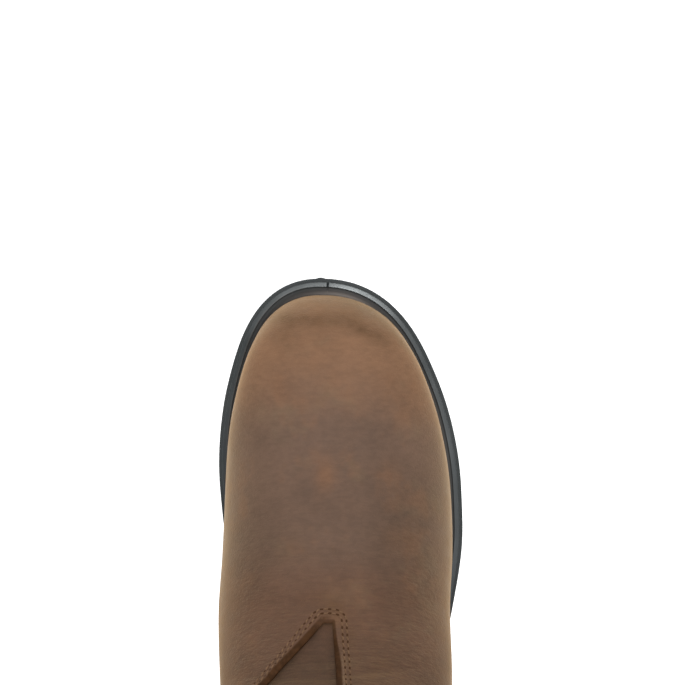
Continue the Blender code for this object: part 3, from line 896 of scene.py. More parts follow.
# %% Lugs and bars
LUG_OUTER_INSET = 3.4
LUG_INNER_INSET = 22.0
LUG_PITCH = 22.0
LUG_LENGTH = 15.5
LUG_CORNER = 0.22
FORE_LUGS_A_SIDE = 7
HEEL_LUGS_A_SIDE = 4
DENSE_RIM_POINTS = 1441
BAR_INSET = 30.0
BAR_LENGTH = 11.0
BAR_POINT = 6.0
FORE_BARS = np.array((58.0, 77.0, 96.0, 115.0, 134.0))
HEEL_BARS = np.array((234.0, 252.0, 270.0))
LugRing = namedtuple("LugRing", "scale down rise")
LUG_RINGS = (
    LugRing(1.0, 0.0, 0.0),
    LugRing(1.0, 1.0, 1.2),
    LugRing(0.985, 1.0, 0.35),
    LugRing(0.93, 1.0, 0.0),
)

rim_dense = sole_ring(np.linspace(-np.pi, np.pi, DENSE_RIM_POINTS))
rim_inward = to_inside(unit(np.gradient(rim_dense, axis=0)))
rim_walk = walked(rim_dense)
rim_walk -= rim_walk[len(rim_walk) // 2]


def rim_lug_plans(middles):
    """Six-cornered plans of the lugs at distances along the rim: out along the edge and back inside."""
    walk = middles[:, None] + np.array((-0.5, 0.0, 0.5, 0.5, 0.0, -0.5)) * LUG_LENGTH
    inset = np.array((LUG_OUTER_INSET,) * 3 + (LUG_INNER_INSET,) * 3)
    spot, inward = (np.stack([np.interp(walk, rim_walk, line) for line in path.T], axis=-1)
                    for path in (rim_dense, rim_inward))
    return spot + inward * inset[:, None]


def bar_plans(stations):
    """Six-cornered plans of the bars in the middle, pointed towards the toe."""
    front = stations[:, None] + np.array((BAR_POINT, 0.0, BAR_POINT))
    spots = np.concatenate((front, front[:, ::-1] + BAR_LENGTH), axis=1)
    inner, outer = sole_inner(spots) - BAR_INSET, sole_outer(spots) + BAR_INSET
    side = np.array((1, 0, -1, -1, 0, 1))
    x = np.where(side > 0, inner, np.where(side < 0, outer, centre_line(spots)))
    return np.stack((x, spots), axis=-1)


def cut_corners(plans):
    """Closed plans with each corner replaced by two points part of the way along its sides."""
    following = np.roll(plans, -1, axis=1)
    pair = np.stack((mix(plans, following, LUG_CORNER), mix(following, plans, LUG_CORNER)), axis=2)
    return pair.reshape(len(plans), -1, 2)


def make_lugs(name, plans, top):
    """All lugs of one part of the tread: rings from the sole down, with a ladder under each."""
    plans = cut_corners(cut_corners(plans))
    middle = plans.mean(axis=1, keepdims=True)
    rings = []
    for ring in LUG_RINGS:
        plan = middle + (plans - middle) * ring.scale
        low = tread_lift(plan[..., 1]) + ring.rise
        rings.append(with_height(plan, mix(top(plan[..., 1]) + LUG_EMBED, low, ring.down)))
    lugs = np.stack(rings, axis=1)
    points, faces = loft(lugs[0])
    faces = repeat_faces(faces, len(lugs), len(points))
    settle_piece(place_mesh(name, lugs.reshape(-1, 3), faces, rubber), "sole_rubber")


fore_middles = np.arange(-FORE_LUGS_A_SIDE, FORE_LUGS_A_SIDE + 1) * LUG_PITCH
heel_steps = (np.arange(HEEL_LUGS_A_SIDE) + 0.5) * LUG_PITCH
heel_middles = np.concatenate((rim_walk[-1] - heel_steps, heel_steps - rim_walk[-1]))
for name, middles, bars, top in (("forefoot_lugs", fore_middles, FORE_BARS, base_height),
                                 ("heel_lugs", heel_middles, HEEL_BARS, heel_bottom)):
    make_lugs(name, np.concatenate((rim_lug_plans(middles), bar_plans(bars))), top)

# %% [markdown]
# ## Width of the leather
# All leather pieces lie at some depth inside one surface, so that layers never cross. Its half-width grows
# from the seat to the widest height, then closes on the crest of the foot and on the front and back lines,
# as a last does.

# %% Width of the leather
GAP = 0.3
RIM = 7.0
TOE_STATION = 9.0
LEATHER_POWER = 2.2
CLEARANCE_POWER = 4.0
SECTION_FADE = (140.0, 175.0)
CLEAR = 3.0
TINY = 1e-6
FRONT_POINTS = 4000
FLARE_FORE = 1.0
FLARE_HEEL = 1.6
FLARE_STATIONS = (120.0, 220.0)

front_foot = (TOE_STATION, seat_height(TOE_STATION) + GAP)
front_knots = np.concatenate(((front_foot,), np.stack(FRONT_LINE, axis=-1)))
front_distance = walked(front_knots)
front_station = smooth_curve(front_distance, front_knots[:, 0])
front_height = smooth_curve(front_distance, front_knots[:, 1])
front_walk = np.linspace(0.0, front_distance[-1], FRONT_POINTS)
front_walk_station = front_station(front_walk)
front_walk_height = front_height(front_walk)
crest_part = slice(int(np.argmin(front_walk_station)), int(np.argmax(front_walk_station)) + 1)
back_station = smooth_curve(BACK_LINE.height, BACK_LINE.station)
leather_inner, leather_outer, widest_height = table_curves(UPPER_PLAN)
front_run, back_run = table_curves(ROUNDING)


def front_at_height(height):
    """Station of the front line at a height."""
    return np.interp(height, front_walk_height, front_walk_station)


def crest_height(station):
    """Height of the front line over a station."""
    return np.interp(station, front_walk_station[crest_part], front_walk_height[crest_part])


def leather_width(station, height, inner_side):
    """Half-width from the centre line: seat to widest width, times the rounding of front, crest and back."""
    seat_edge = np.where(inner_side, sole_inner(station) - RIM, sole_outer(station) + RIM)
    wide_edge = np.where(inner_side, leather_inner(station), leather_outer(station))
    seat = seat_height(station)
    widest = widest_height(station)
    flare = mix(FLARE_FORE, FLARE_HEEL, smooth_step(*FLARE_STATIONS, station))
    up_share = np.clip((height - seat) / (widest - seat), 0.0, 1.0) ** flare
    half = np.abs(mix(seat_edge, wide_edge, np.sin(np.pi / 2 * up_share)) - centre_line(station))
    crest = crest_height(station)
    below_crest = np.clip((crest - height) / np.maximum(crest - widest, 1.0), TINY, None)
    below_crest = mix(below_crest, CLEAR, smooth_step(*SECTION_FADE, height))
    behind_front = np.clip((station - front_at_height(height)) / front_run(height), TINY, None)
    nearer = below_crest ** -CLEARANCE_POWER + behind_front ** -CLEARANCE_POWER
    before_back = (back_station(height) - station) / back_run(height)
    return half * rounded(nearer ** (-1 / CLEARANCE_POWER), LEATHER_POWER) * rounded(before_back, HEEL_POWER)


print("front line in mm:", round(float(front_distance[-1]), 1))

# %% [markdown]
# ## The leather's own surface
# The surface is walked by two numbers: a level that runs up the front line from the sole (0) over the peak
# of the vamp (1) to the collar (2), and an angle round the boot. Beyond the peak a level rises fast at
# first and then slowly, so that level 1 is the sweep of the vamp's edge round the ankle.

# %% Surface of the leather
VAMP_WALL = 1.9
UPPER_WALL = 2.2
PEAK_HEIGHT = 108.5
PEAK_INNER_ANGLE = np.radians(1.0)
PEAK_OUTER_ANGLE = np.radians(1.6)
PEAK_SWEEP = 27.0
SWEEP_ANGLE = np.radians(33.0)
COLLAR_FALL = -5.0
LEVEL_STEP = 0.008
ANGLE_STEP = np.radians(1.0)

peak_distance = front_distance[front_knots[:, 1] == PEAK_HEIGHT][0]
shaft_distance = front_distance[-1] - peak_distance


def leather_place(level, angle):
    """Point of the leather's outer face at a level and an angle."""
    level, angle = np.broadcast_arrays(np.clip(level, 0.0, 2.0), angle)
    angle = (angle + np.pi) % (2 * np.pi) - np.pi
    foot = np.clip(level, 0.0, 1.0)
    shaft = np.clip(level - 1.0, 0.0, 1.0)
    walk = foot * peak_distance + shaft * shaft_distance
    start = front_station(walk)
    start_height = front_height(walk)
    round_share = (1.0 - np.cos(angle)) / 2
    peak_edge = np.where(angle > 0, PEAK_INNER_ANGLE, PEAK_OUTER_ANGLE)
    beyond_peak = np.clip(np.abs(angle) - peak_edge, 0.0, None)
    sweep_share = (1.0 - np.exp(-beyond_peak / SWEEP_ANGLE)) / (1.0 - np.exp(-np.pi / SWEEP_ANGLE))
    seat_rise = seat_height(mix(start, back_station(start_height), round_share)) - seat_height(start)
    peak_rise = mix(PEAK_SWEEP, COLLAR_FALL, shaft) * mix(sweep_share, round_share, shaft)
    height = start_height + mix(seat_rise, peak_rise, smooth_step(0.0, 1.0, foot))
    station = mix(front_at_height(height), back_station(height), round_share)
    inner_side = angle > 0
    width = leather_width(station, height, inner_side)
    x = centre_line(station) + np.where(inner_side, width, -width)
    return np.stack((x, station, height), axis=-1)


def leather_normal(level, angle):
    """Outward normal of the leather, level with the floor at its lower and upper edges."""
    along = leather_place(level, angle + ANGLE_STEP) - leather_place(level, angle - ANGLE_STEP)
    upward = leather_place(level + LEVEL_STEP, angle) - leather_place(level - LEVEL_STEP, angle)
    normal = np.cross(along, upward)
    edge = (level <= 0.0) | (level >= 2.0)
    normal[..., 2] = np.where(edge, 0.0, normal[..., 2])
    return unit(normal)


peak = leather_place(1.0, np.array((PEAK_INNER_ANGLE, -PEAK_OUTER_ANGLE))).mean(axis=0)
print("peak of the vamp in mm:", peak.round(1).tolist())

# %% [markdown]
# ## Creases
# New leather on a last is smooth, but it isn't a machined surface. A few soft troughs are set where the
# foot bends, a row for each: where it crosses the centre line, how it runs, how long, wide and deep it
# is. A slow waviness of a tenth of a millimetre or two keeps the highlights alive.

# %% Creases and waves
Crease = namedtuple("Crease", "station height slant bow reach width depth")
CREASES = (
    Crease(104, 83, 0.10, 0.0030, 34, 4.0, 0.22),
    Crease(114, 87, -0.06, 0.0040, 30, 3.5, 0.26),
    Crease(125, 92, 0.05, 0.0045, 36, 4.2, 0.30),
    Crease(137, 98, -0.04, 0.0050, 32, 3.2, 0.24),
    Crease(147, 103, 0.08, 0.0060, 38, 3.0, 0.22),
    Crease(178, 127, 0.06, 0.0080, 40, 4.5, 0.55),
    Crease(189, 144, -0.05, 0.0060, 42, 5.0, 0.70),
    Crease(195, 164, 0.04, 0.0030, 40, 5.5, 0.60),
)
CREASE_END = 215.0
CREASE_RIDGE = 1.2
Wave = namedtuple("Wave", "x station height start share")
WAVES = (
    Wave(9.1, 14.3, np.inf, 0.0, 1.0),
    Wave(np.inf, 8.7, -11.9, 1.3, 0.8),
    Wave(5.7, 21.0, -7.9, 0.6, 0.5),
)
WAVE_HEIGHT = 0.07


def relief(place):
    """Height of creases and waves at places on the leather.

    A crease lies where the way up along the front line equals its own way plus slant and bow times the
    distance from the centre line; its trough is a bell with a low ridge on each side. A wave is a sine
    whose angle is the sum of the three coordinates over its three lengths, from a start.
    """
    x, station, height = np.moveaxis(place, -1, 0)
    off = x - centre_line(station)
    way = station + height
    total = np.zeros_like(x)
    for crease in CREASES:
        line = crease.station + crease.height + crease.slant * off - crease.bow * off ** 2
        t = (way - line) / crease.width
        reach = np.exp(-(off / crease.reach) ** 4) * (station < CREASE_END)
        total += crease.depth * reach * (t ** 2 * CREASE_RIDGE - 1.0) * np.exp(-t ** 2)
    for wave in WAVES:
        turn = x / wave.x + station / wave.station + height / wave.height + wave.start
        total += WAVE_HEIGHT * wave.share * np.sin(turn)
    return total


def leather_skin(level, angle, depth, folds=1.0):
    """Points at a depth inside the leather's outer face, with its creases."""
    level, angle = np.broadcast_arrays(level, angle)
    place = leather_place(level, angle)
    lift = relief(place) * folds - depth
    return place + leather_normal(level, angle) * lift[..., None]


print("deepest crease in mm:", max(crease.depth for crease in CREASES))

# %% [markdown]
# ## Stains and painted shade
# Handling leaves rust and dark smudges, and some of the dark patches are painted shade. Painted on a
# picture they would need an image, so each is a row of a table, a soft bell on the plan, and one band of
# painted shade bends round the crest of the toe as an arc.

# %% Stains and painted shade
TOE_SHADE_X = -2.0
TOE_SHADE_STATION = 19.4
TOE_SHADE_SLOPE = 0.55
TOE_SHADE_TURN = 4.0
TOE_SHADE_WIDTH = 3.6
TOE_SHADE_STRENGTH = 0.75
TOE_SHADE_MIDDLE = 5.0
TOE_SHADE_FADE = (20.0, 34.0)
Stain = namedtuple("Stain", "kind x station wide long strength")
STAINS = (
    Stain("rust", 7.1, 91.2, 4.5, 7.5, 0.75),
    Stain("rust", -21.9, 90.3, 5.0, 6.0, 0.30),
    Stain("rust", -25.6, 120.2, 7.0, 6.0, 0.35),
    Stain("rust", 28.4, 51.7, 5.0, 6.0, 0.30),
    Stain("rust", -4.4, 58.2, 6.0, 5.0, 0.25),
    Stain("rust", 2.5, 155.0, 6.0, 3.0, 0.50),
    # the smudge rows are partly painted shade
    Stain("smudge_and_shade", 5.0, 148.0, 9.0, 5.0, 0.50),
    Stain("smudge_and_shade", -16.0, 179.0, 9.0, 10.0, 0.50),
    Stain("smudge_and_shade", -8.0, 23.5, 8.0, 3.0, 0.22),
    Stain("smudge_and_shade", 26.0, 28.0, 6.0, 6.0, 0.30),
    Stain("smudge_and_shade", 23.5, 124.0, 8.0, 8.0, 0.22),
    Stain("smudge_and_shade", -3.0, 164.0, 5.0, 10.0, 0.48),
    Stain("smudge_and_shade", 2.5, 153.0, 5.0, 4.0, 0.30),
    Stain("smudge_and_shade", -6.5, 17.5, 5.0, 3.0, 0.20),
)


def stained(x, station):
    """Strength of rust and of smudge with painted shade: a shade arc round the toe's outer side, and a bell
    for each stain.
    """
    # painted shade: a dark arc along the crest of the toe, where the toe box curves down
    outward = TOE_SHADE_X - x
    arc = TOE_SHADE_STATION + TOE_SHADE_SLOPE / 2 * (np.hypot(outward, TOE_SHADE_TURN) + outward)
    smudge_and_shade = TOE_SHADE_STRENGTH * np.exp(-((station - arc) / TOE_SHADE_WIDTH) ** 2)
    smudge_and_shade *= 1.0 - smooth_step(*TOE_SHADE_FADE, np.abs(x - TOE_SHADE_MIDDLE))
    stains = {"rust": np.zeros_like(x), "smudge_and_shade": smudge_and_shade}
    for spot in STAINS:
        reach = ((x - spot.x) / spot.wide) ** 2 + ((station - spot.station) / spot.long) ** 2
        stains[spot.kind] += spot.strength * np.exp(-reach)
    return stains


print("stains:", len(STAINS))

# %% [markdown]
# ## Shades of the leather
# The rest of the colour follows from where the leather is: a warm toe whose steep wall is darkened by
# painted shade, a deep shaft, darker flanks at the ball, and wrinkles on top of the instep. All leather
# pieces are closed sheets that carry these numbers, so one function makes them.

# %% Shades and leather pieces
BALL_START = (82.0, 104.0)
BALL_END = (145.0, 168.0)
FLANK_START = (14.0, 36.0)
FLANK_END = (44.0, 56.0)
FLANK_EASE = 0.6
FLANK_OUTER = 0.22
FLANK_INNER = 0.13
ANKLE_START = (158.0, 182.0)
ANKLE_DARK = 0.17
TOE_WARM = (33.0, 72.0)
TOE_WARM_BOW = 0.3
TOE_WARM_FLAT = 15.0
SHAFT_DEEP = (118.0, 150.0)
TOE_WALL_END = (18.0, 45.0)
TOE_WALL_FACING = (0.20, 0.85)
TOE_WALL_OUTER = 0.45
TOE_WALL_INNER = 0.15
TOE_WALL_TURN = (-5.0, 25.0)
TOP_FACING = (0.45, 0.80)
WRINKLE_LEAST = 0.3
WRINKLE_BALL = 0.6
WRINKLE_BALL_START = (95.0, 145.0)
WRINKLE_INSTEP = 0.4
WRINKLE_INSTEP_START = (150.0, 175.0)


def leather_numbers(place, normal, tone=1.0, cut=0.0, rub=0.0, wrinkle=1.0):
    """What the leather finish reads at each point, from its place and normal."""
    x, station, upright = place[..., 0], place[..., 1], normal[..., 2]
    off = np.abs(x - centre_line(station))
    ball = smooth_step(*BALL_START, station) * (1.0 - smooth_step(*BALL_END, station))
    flank = smooth_step(*FLANK_START, off) * (1.0 - FLANK_EASE * smooth_step(*FLANK_END, off))
    flank *= np.where(x < 0, FLANK_OUTER, FLANK_INNER)
    # painted shade: the toe's wall darkens where it turns steeply down, more on the outer side
    toe_wall_shade = (1.0 - smooth_step(*TOE_WALL_FACING, upright)) * (1.0 - smooth_step(*TOE_WALL_END, station))
    toe_wall_shade *= mix(TOE_WALL_OUTER, TOE_WALL_INNER, smooth_step(*TOE_WALL_TURN, x))
    gather = WRINKLE_LEAST + WRINKLE_BALL * smooth_step(*WRINKLE_BALL_START, station)
    gather += WRINKLE_INSTEP * smooth_step(*WRINKLE_INSTEP_START, station)
    bowed = station - TOE_WARM_BOW * np.clip(off - TOE_WARM_FLAT, 0.0, None)
    numbers = {
        "warm": 1.0 - smooth_step(*TOE_WARM, bowed),
        "deep": smooth_step(*SHAFT_DEEP, station),
        **stained(x, station),
        "wrinkle": wrinkle * gather * smooth_step(*TOP_FACING, upright),
        "tone": tone - ball * flank - ANKLE_DARK * smooth_step(*ANKLE_START, station) - toe_wall_shade,
        "cut": cut,
        "rub": rub,
    }
    return {key: np.broadcast_to(values, x.shape) for key, values in numbers.items()}


def leather_piece(name, node, level, angle, depths, cells=None, folds=1.0, closed=False, **shades):
    """A closed sheet of leather between two depths, with its finish's numbers on both faces."""
    level, angle = np.broadcast_arrays(level, angle)
    front, back = (leather_skin(level, angle, depth, folds) for depth in depths)
    points, faces, kept = shell(front, back, cells, closed)
    numbers = leather_numbers(leather_place(level, angle), leather_normal(level, angle), **shades)
    numbers = {key: np.tile(values.ravel(), 2)[kept] for key, values in numbers.items()}
    settle_piece(place_mesh(name, points, faces, leather, numbers), "boot_leather", node)


print("numbers on the leather:", list(leather_numbers(np.zeros((1, 3)), np.ones((1, 3)))))

# %% [markdown]
# ## The vamp's edge
# The vamp laps over the rest of the upper. Its edge runs down the front of the shaft, turns at a blunt
# peak on the instep and sweeps back round the inner ankle. A boolean cut would leave ragged cells, so the
# grid has its own lines along this edge, and finer ones beside it.

# %% Edge of the vamp
BACKSTAY_ANGLE = np.radians(167.66)
EDGE_NEAR = 12.0
POINTS_AT_ONCE = 2000
FOOT_ROWS = 96
EDGE_ROWS = 14
EDGE_ROWS_REACH = 0.028
ANKLE_LEVEL = 1.45
ANKLE_ROWS = 60
SHAFT_ROWS = 45
OUTER_COLUMNS = 128
INNER_COLUMNS = 132
EDGE_COLUMNS = 16
EDGE_COLUMNS_REACH = 0.045
SHAFT_EDGE_POINTS = 400
ANKLE_EDGE_POINTS = 500


def thickened(coarse, end, reach, steps):
    """Sorted values: an even run, plus finer steps over the reach before one value."""
    return np.unique(np.round(np.concatenate((coarse, end + np.linspace(-reach, 0.0, steps))), 7))


def edge_distance(points):
    """Distance of points to the vamp's edge, or EDGE_NEAR where they are further off than that."""
    flat = points.reshape(-1, 3)
    found = np.full(len(flat), EDGE_NEAR)
    lower, upper = edge_path.min(axis=0) - EDGE_NEAR, edge_path.max(axis=0) + EDGE_NEAR
    near = np.nonzero(np.all((flat > lower) & (flat < upper), axis=1))[0]
    for part in np.array_split(near, max(1, len(near) // POINTS_AT_ONCE)):
        gaps = np.linalg.norm(flat[part][:, None, :] - edge_path[None, :, :], axis=2)
        found[part] = np.minimum(gaps.min(axis=1), EDGE_NEAR)
    return found.reshape(points.shape[:-1])


foot_levels = thickened(np.linspace(0.0, 1.0, FOOT_ROWS), 1.0, EDGE_ROWS_REACH, EDGE_ROWS)
ankle_levels = np.linspace(1.0, ANKLE_LEVEL, ANKLE_ROWS)[1:]
shaft_levels = np.linspace(ANKLE_LEVEL, 2.0, SHAFT_ROWS)[1:]
outer_angles = np.linspace(PEAK_OUTER_ANGLE, BACKSTAY_ANGLE, OUTER_COLUMNS)
beside_peak = PEAK_OUTER_ANGLE + EDGE_COLUMNS_REACH
outer_angles = -thickened(outer_angles, beside_peak, EDGE_COLUMNS_REACH, EDGE_COLUMNS)[::-1]
inner_angles = np.linspace(PEAK_INNER_ANGLE, BACKSTAY_ANGLE, INNER_COLUMNS)
vamp_levels = np.concatenate((foot_levels, ankle_levels, shaft_levels))
vamp_angles = np.concatenate((outer_angles, inner_angles))
edge_rows = np.concatenate((
    np.linspace((2.0, -PEAK_OUTER_ANGLE), (1.0, -PEAK_OUTER_ANGLE), SHAFT_EDGE_POINTS),
    np.linspace((1.0, -PEAK_OUTER_ANGLE), (1.0, BACKSTAY_ANGLE), ANKLE_EDGE_POINTS),
))
edge_path = leather_place(*edge_rows.T)
print("vamp's edge in mm:", round(float(walked(edge_path)[-1]), 1))

# %% [markdown]
# ## The vamp
# The edge is skived and stained: near it the face rolls down to the layer below. The distance of every
# grid point to the edge gives the roll, the dark stain, which narrows towards the peak on the front, and a
# pale line of painted highlight beside it, on the leather between the edge and the stitches.

# %% Vamp
EDGE_ROLL = 2.3
EDGE_LIP = 0.15
CUT_SOLID = 2.1
CUT_BAND = 3.1
PEAK_TAPER = 0.5
PEAK_TAPER_END = (3.0, 25.0)
PEAK_STAIN = 0.70
PEAK_STAIN_END = (3.0, 9.0)
HIGHLIGHT_LINE = 3.5
HIGHLIGHT_LINE_WIDE = 0.6
HIGHLIGHT_LINE_STRENGTH = 0.5
HIGHLIGHT_LINE_START = (1.03, 1.15)

vamp_level, vamp_angle = np.meshgrid(vamp_levels, vamp_angles, indexing="ij")
vamp_place = leather_place(vamp_level, vamp_angle)
edge_gap = edge_distance(vamp_place)
roll = 1.0 - np.clip(edge_gap / EDGE_ROLL, 0.0, 1.0)
roll_depth = (VAMP_WALL - EDGE_LIP) * (1.0 - np.sqrt(np.clip(1.0 - roll ** 2, 0.0, 1.0)))
vamp_cells = np.zeros((len(vamp_levels) - 1, len(vamp_angles) - 1), dtype=bool)
vamp_cells[:len(foot_levels) - 1, :] = True
vamp_cells[:, :len(outer_angles) - 1] = True
from_peak = np.linalg.norm(vamp_place - peak, axis=-1)
front_taper = mix(PEAK_TAPER, 1.0, smooth_step(*PEAK_TAPER_END, from_peak))
cut_taper = np.where(vamp_angle < 0, front_taper, 1.0)
vamp_cut = 1.0 - smooth_step(CUT_SOLID, CUT_BAND, edge_gap / cut_taper)
vamp_cut *= mix(PEAK_STAIN, 1.0, smooth_step(*PEAK_STAIN_END, from_peak))
# painted highlight: a pale line between the edge and the first row of stitches
vamp_rub = HIGHLIGHT_LINE_STRENGTH * np.exp(-((edge_gap - HIGHLIGHT_LINE) / HIGHLIGHT_LINE_WIDE) ** 2)
vamp_rub *= smooth_step(*HIGHLIGHT_LINE_START, vamp_level)
leather_piece("vamp_leather", "vamp", vamp_level, vamp_angle, (roll_depth, VAMP_WALL), vamp_cells,
              cut=vamp_cut, rub=vamp_rub)

# %% [markdown]
# ## Upper and lining
# Under the vamp lies the upper, which shows in the peak, up the inner side of the shaft and at the collar.
# It is darker in the shadow of the vamp's edge. A cloth lining follows it inside, as a thin sheet of its
# own.

# %% Upper and lining
LINING_WALL = 0.9
LINING_GAP = 0.05
UPPER_TONE = 0.76
EDGE_SHADE = 0.22
EDGE_SHADE_REACH = 2.5
UPPER_FOLDS = 0.8
UPPER_WRINKLE = 0.6
UPPER_COLUMNS = 224
HIDDEN_LEVEL = 0.9
HIDDEN_ROWS = 32
SHOWN_ROWS = 120
LINING_COLUMNS = 150
LINING_ROWS = 90
UPPER_FACE = VAMP_WALL + GAP
UPPER_BACK = UPPER_FACE + UPPER_WALL

hidden_levels = np.linspace(0.0, HIDDEN_LEVEL, HIDDEN_ROWS)
shown_levels = np.linspace(HIDDEN_LEVEL, 2.0, SHOWN_ROWS)[1:]
upper_levels = np.concatenate((hidden_levels, shown_levels))[:, None]
upper_angles = ring_angles(UPPER_COLUMNS)[None, :]
beside_edge = np.exp(-edge_distance(leather_place(upper_levels, upper_angles)) / EDGE_SHADE_REACH)
upper_depths = (UPPER_FACE, UPPER_BACK - LINING_WALL)
leather_piece("upper_leather", "upper", upper_levels, upper_angles, upper_depths, folds=UPPER_FOLDS,
              closed=True, tone=UPPER_TONE - EDGE_SHADE * beside_edge, wrinkle=UPPER_WRINKLE)

lining_levels = np.linspace(0.0, 2.0, LINING_ROWS)[:, None]
lining_angles = ring_angles(LINING_COLUMNS)[None, :]
lining_depths = (UPPER_BACK - LINING_WALL + LINING_GAP, UPPER_BACK)
lining_faces = (leather_skin(lining_levels, lining_angles, depth, UPPER_FOLDS) for depth in lining_depths)
lining_points, lining_quads, _ = shell(*lining_faces, closed=True)
lining = place_mesh("lining", lining_points, lining_quads, lining_cloth)
settle_piece(lining, "insole_cloth")

# %% [markdown]
# ## Backstay
# At the back a strip covers the closing seam. It lies in the gap between the vamp's two ends, and its
# edges are rolled and stained as the vamp's is.

# %% Backstay
BACKSTAY_WALL = 2.0
BACKSTAY_MARGIN = np.radians(0.6)
BACKSTAY_ROLL = 0.16
BACKSTAY_STAIN = (0.2, 0.8)
BACKSTAY_COLUMNS = 27
BACKSTAY_ROWS = 150

stay_half = np.pi - BACKSTAY_ANGLE - BACKSTAY_MARGIN
stay_share = np.sin(np.linspace(-np.pi / 2, np.pi / 2, BACKSTAY_COLUMNS))[None, :]
stay_roll = np.clip((np.abs(stay_share) - 1.0 + BACKSTAY_ROLL) / BACKSTAY_ROLL, 0.0, 1.0)
stay_face = mix(VAMP_WALL - BACKSTAY_WALL, VAMP_WALL - EDGE_LIP, 1.0 - np.sqrt(1.0 - stay_roll ** 2))
stay_levels = np.linspace(0.0, 2.0, BACKSTAY_ROWS)[:, None]
leather_piece("backstay_leather", "backstay", stay_levels, np.pi + stay_half * stay_share,
              (stay_face, VAMP_WALL), cut=smooth_step(*BACKSTAY_STAIN, stay_roll))

# %% [markdown]
# ## Footbed
# The footbed closes the upper underneath. It is a loft of rings just inside the upper, with its edge
# turned up a little, because a flat plate would show a gap along the wall.

# %% Footbed
INSOLE_THICK = 4.5
FOOTBED_POINTS = 260
FootbedStep = namedtuple("FootbedStep", "inset rise")
FOOTBED_STEPS = (
    FootbedStep(0.6, GAP),
    FootbedStep(0.2, 1.6),
    FootbedStep(0.2, INSOLE_THICK - 1.2),
    FootbedStep(0.5, INSOLE_THICK - 0.4),
    FootbedStep(1.4, INSOLE_THICK),
    FootbedStep(4.0, INSOLE_THICK - 0.3),
    FootbedStep(9.0, INSOLE_THICK - 0.6),
)

footbed_edge = leather_skin(0.0, ring_angles(FOOTBED_POINTS), UPPER_BACK + GAP, 0.0)[:, :2]
footbed_rings = []
for step in FOOTBED_STEPS:
    ring = inset_ring(footbed_edge, step.inset)
    footbed_rings.append(with_height(ring, seat_height(ring[:, 1]) + step.rise))
footbed = place_mesh("footbed", *loft(footbed_rings), footbed_cloth)
settle_piece(footbed, "insole_cloth", "insole")

# %% [markdown]
# ## Pull straps
# Each strap is sewn to the shaft, goes over the collar in an open loop and down inside. A bent box would
# have hard corners, so its section is a flat superellipse: going round it moves the angle on the shaft for
# the width, and the offset for the thickness.

# %% Pull straps
STRAP_ANGLE = np.radians(90.0)
STRAP_WIDTH = 24.0
STRAP_THICK = 2.0
STRAP_ARCH = 26.0
STRAP_OPEN = 4.6
STRAP_OUTER_FOOT = 1.70
STRAP_INNER_FOOT = 1.78
STRAP_ROUND = 40
STRAP_CORNER = 0.16
STRAP_EDGE_CORNER = 0.64
STRAP_STAIN = (0.93, 1.0)
STRAP_OUTER_STEPS = 24
STRAP_ARCH_STEPS = 40
STRAP_INNER_STEPS = 18
PROBE_LIMIT = 0.9


def strap_middle(wall_depth, angles):
    """Middle surface of a strap for angles round the boot: up outside, over in a loop, down inside."""
    outer_depth = wall_depth - GAP - STRAP_THICK / 2
    inner_depth = UPPER_BACK + GAP + STRAP_THICK / 2
    outer_levels = np.linspace(STRAP_OUTER_FOOT, 2.0, STRAP_OUTER_STEPS, endpoint=False)[:, None]
    inner_levels = np.linspace(2.0, STRAP_INNER_FOOT, STRAP_INNER_STEPS)[1:, None]
    turn = np.linspace(0.0, np.pi, STRAP_ARCH_STEPS)[:, None]
    reach = (inner_depth - outer_depth) / 2 * np.cos(turn) + STRAP_OPEN * np.sin(2 * turn)
    arch = leather_skin(np.full_like(turn, 2.0), angles, (inner_depth + outer_depth) / 2 - reach, 0.0)
    arch[..., 2] += STRAP_ARCH * np.sin(turn)
    outside = leather_skin(outer_levels, angles, outer_depth, 0.0)
    inside = leather_skin(inner_levels, angles, inner_depth, 0.0)
    return np.concatenate((outside, arch, inside))


def signed_power(values, power):
    """Power of the size of values, with their sign kept."""
    return np.sign(values) * np.abs(values) ** power


def make_strap(name, node, side, wall_depth):
    """A strap as a flat superellipse carried along its path, closed by a ladder at both ends."""
    step = leather_place(2.0, side * (STRAP_ANGLE + ANGLE_STEP)) - leather_place(2.0, side * STRAP_ANGLE)
    half_angle = STRAP_WIDTH / 2 / np.linalg.norm(step) * ANGLE_STEP
    turn = ring_angles(STRAP_ROUND)
    across = signed_power(np.cos(turn), STRAP_CORNER)
    through = signed_power(np.sin(turn), STRAP_EDGE_CORNER)
    middle = strap_middle(wall_depth, side * (STRAP_ANGLE + half_angle * across)[None, :])
    probe = side * (STRAP_ANGLE + half_angle * np.clip(across, -PROBE_LIMIT, PROBE_LIMIT))[None, :]
    sideways = strap_middle(wall_depth, probe + ANGLE_STEP) - strap_middle(wall_depth, probe - ANGLE_STEP)
    normal = unit(np.cross(np.gradient(middle, axis=0), sideways))
    rings = middle + normal * (STRAP_THICK / 2 * through)[None, :, None]
    numbers = leather_numbers(rings, normal, cut=smooth_step(*STRAP_STAIN, np.abs(across))[None, :])
    settle_piece(place_mesh(name, *loft(rings), leather, numbers), "strap_leather", node)


make_strap("strap_inner", "pull_strap_inner", 1, UPPER_FACE)
make_strap("strap_outer", "pull_strap_outer", -1, 0.0)

# %% [markdown]
# ## Rows beside the edge
# Two rows of stitches hold the vamp down. A row is a path at a set distance beside the edge: the edge
# moved sideways over the surface, with an arc round each corner of the peak, then dropped back on to the
# leather by a few Newton steps. Round the ankle the rows come nearer to the edge.

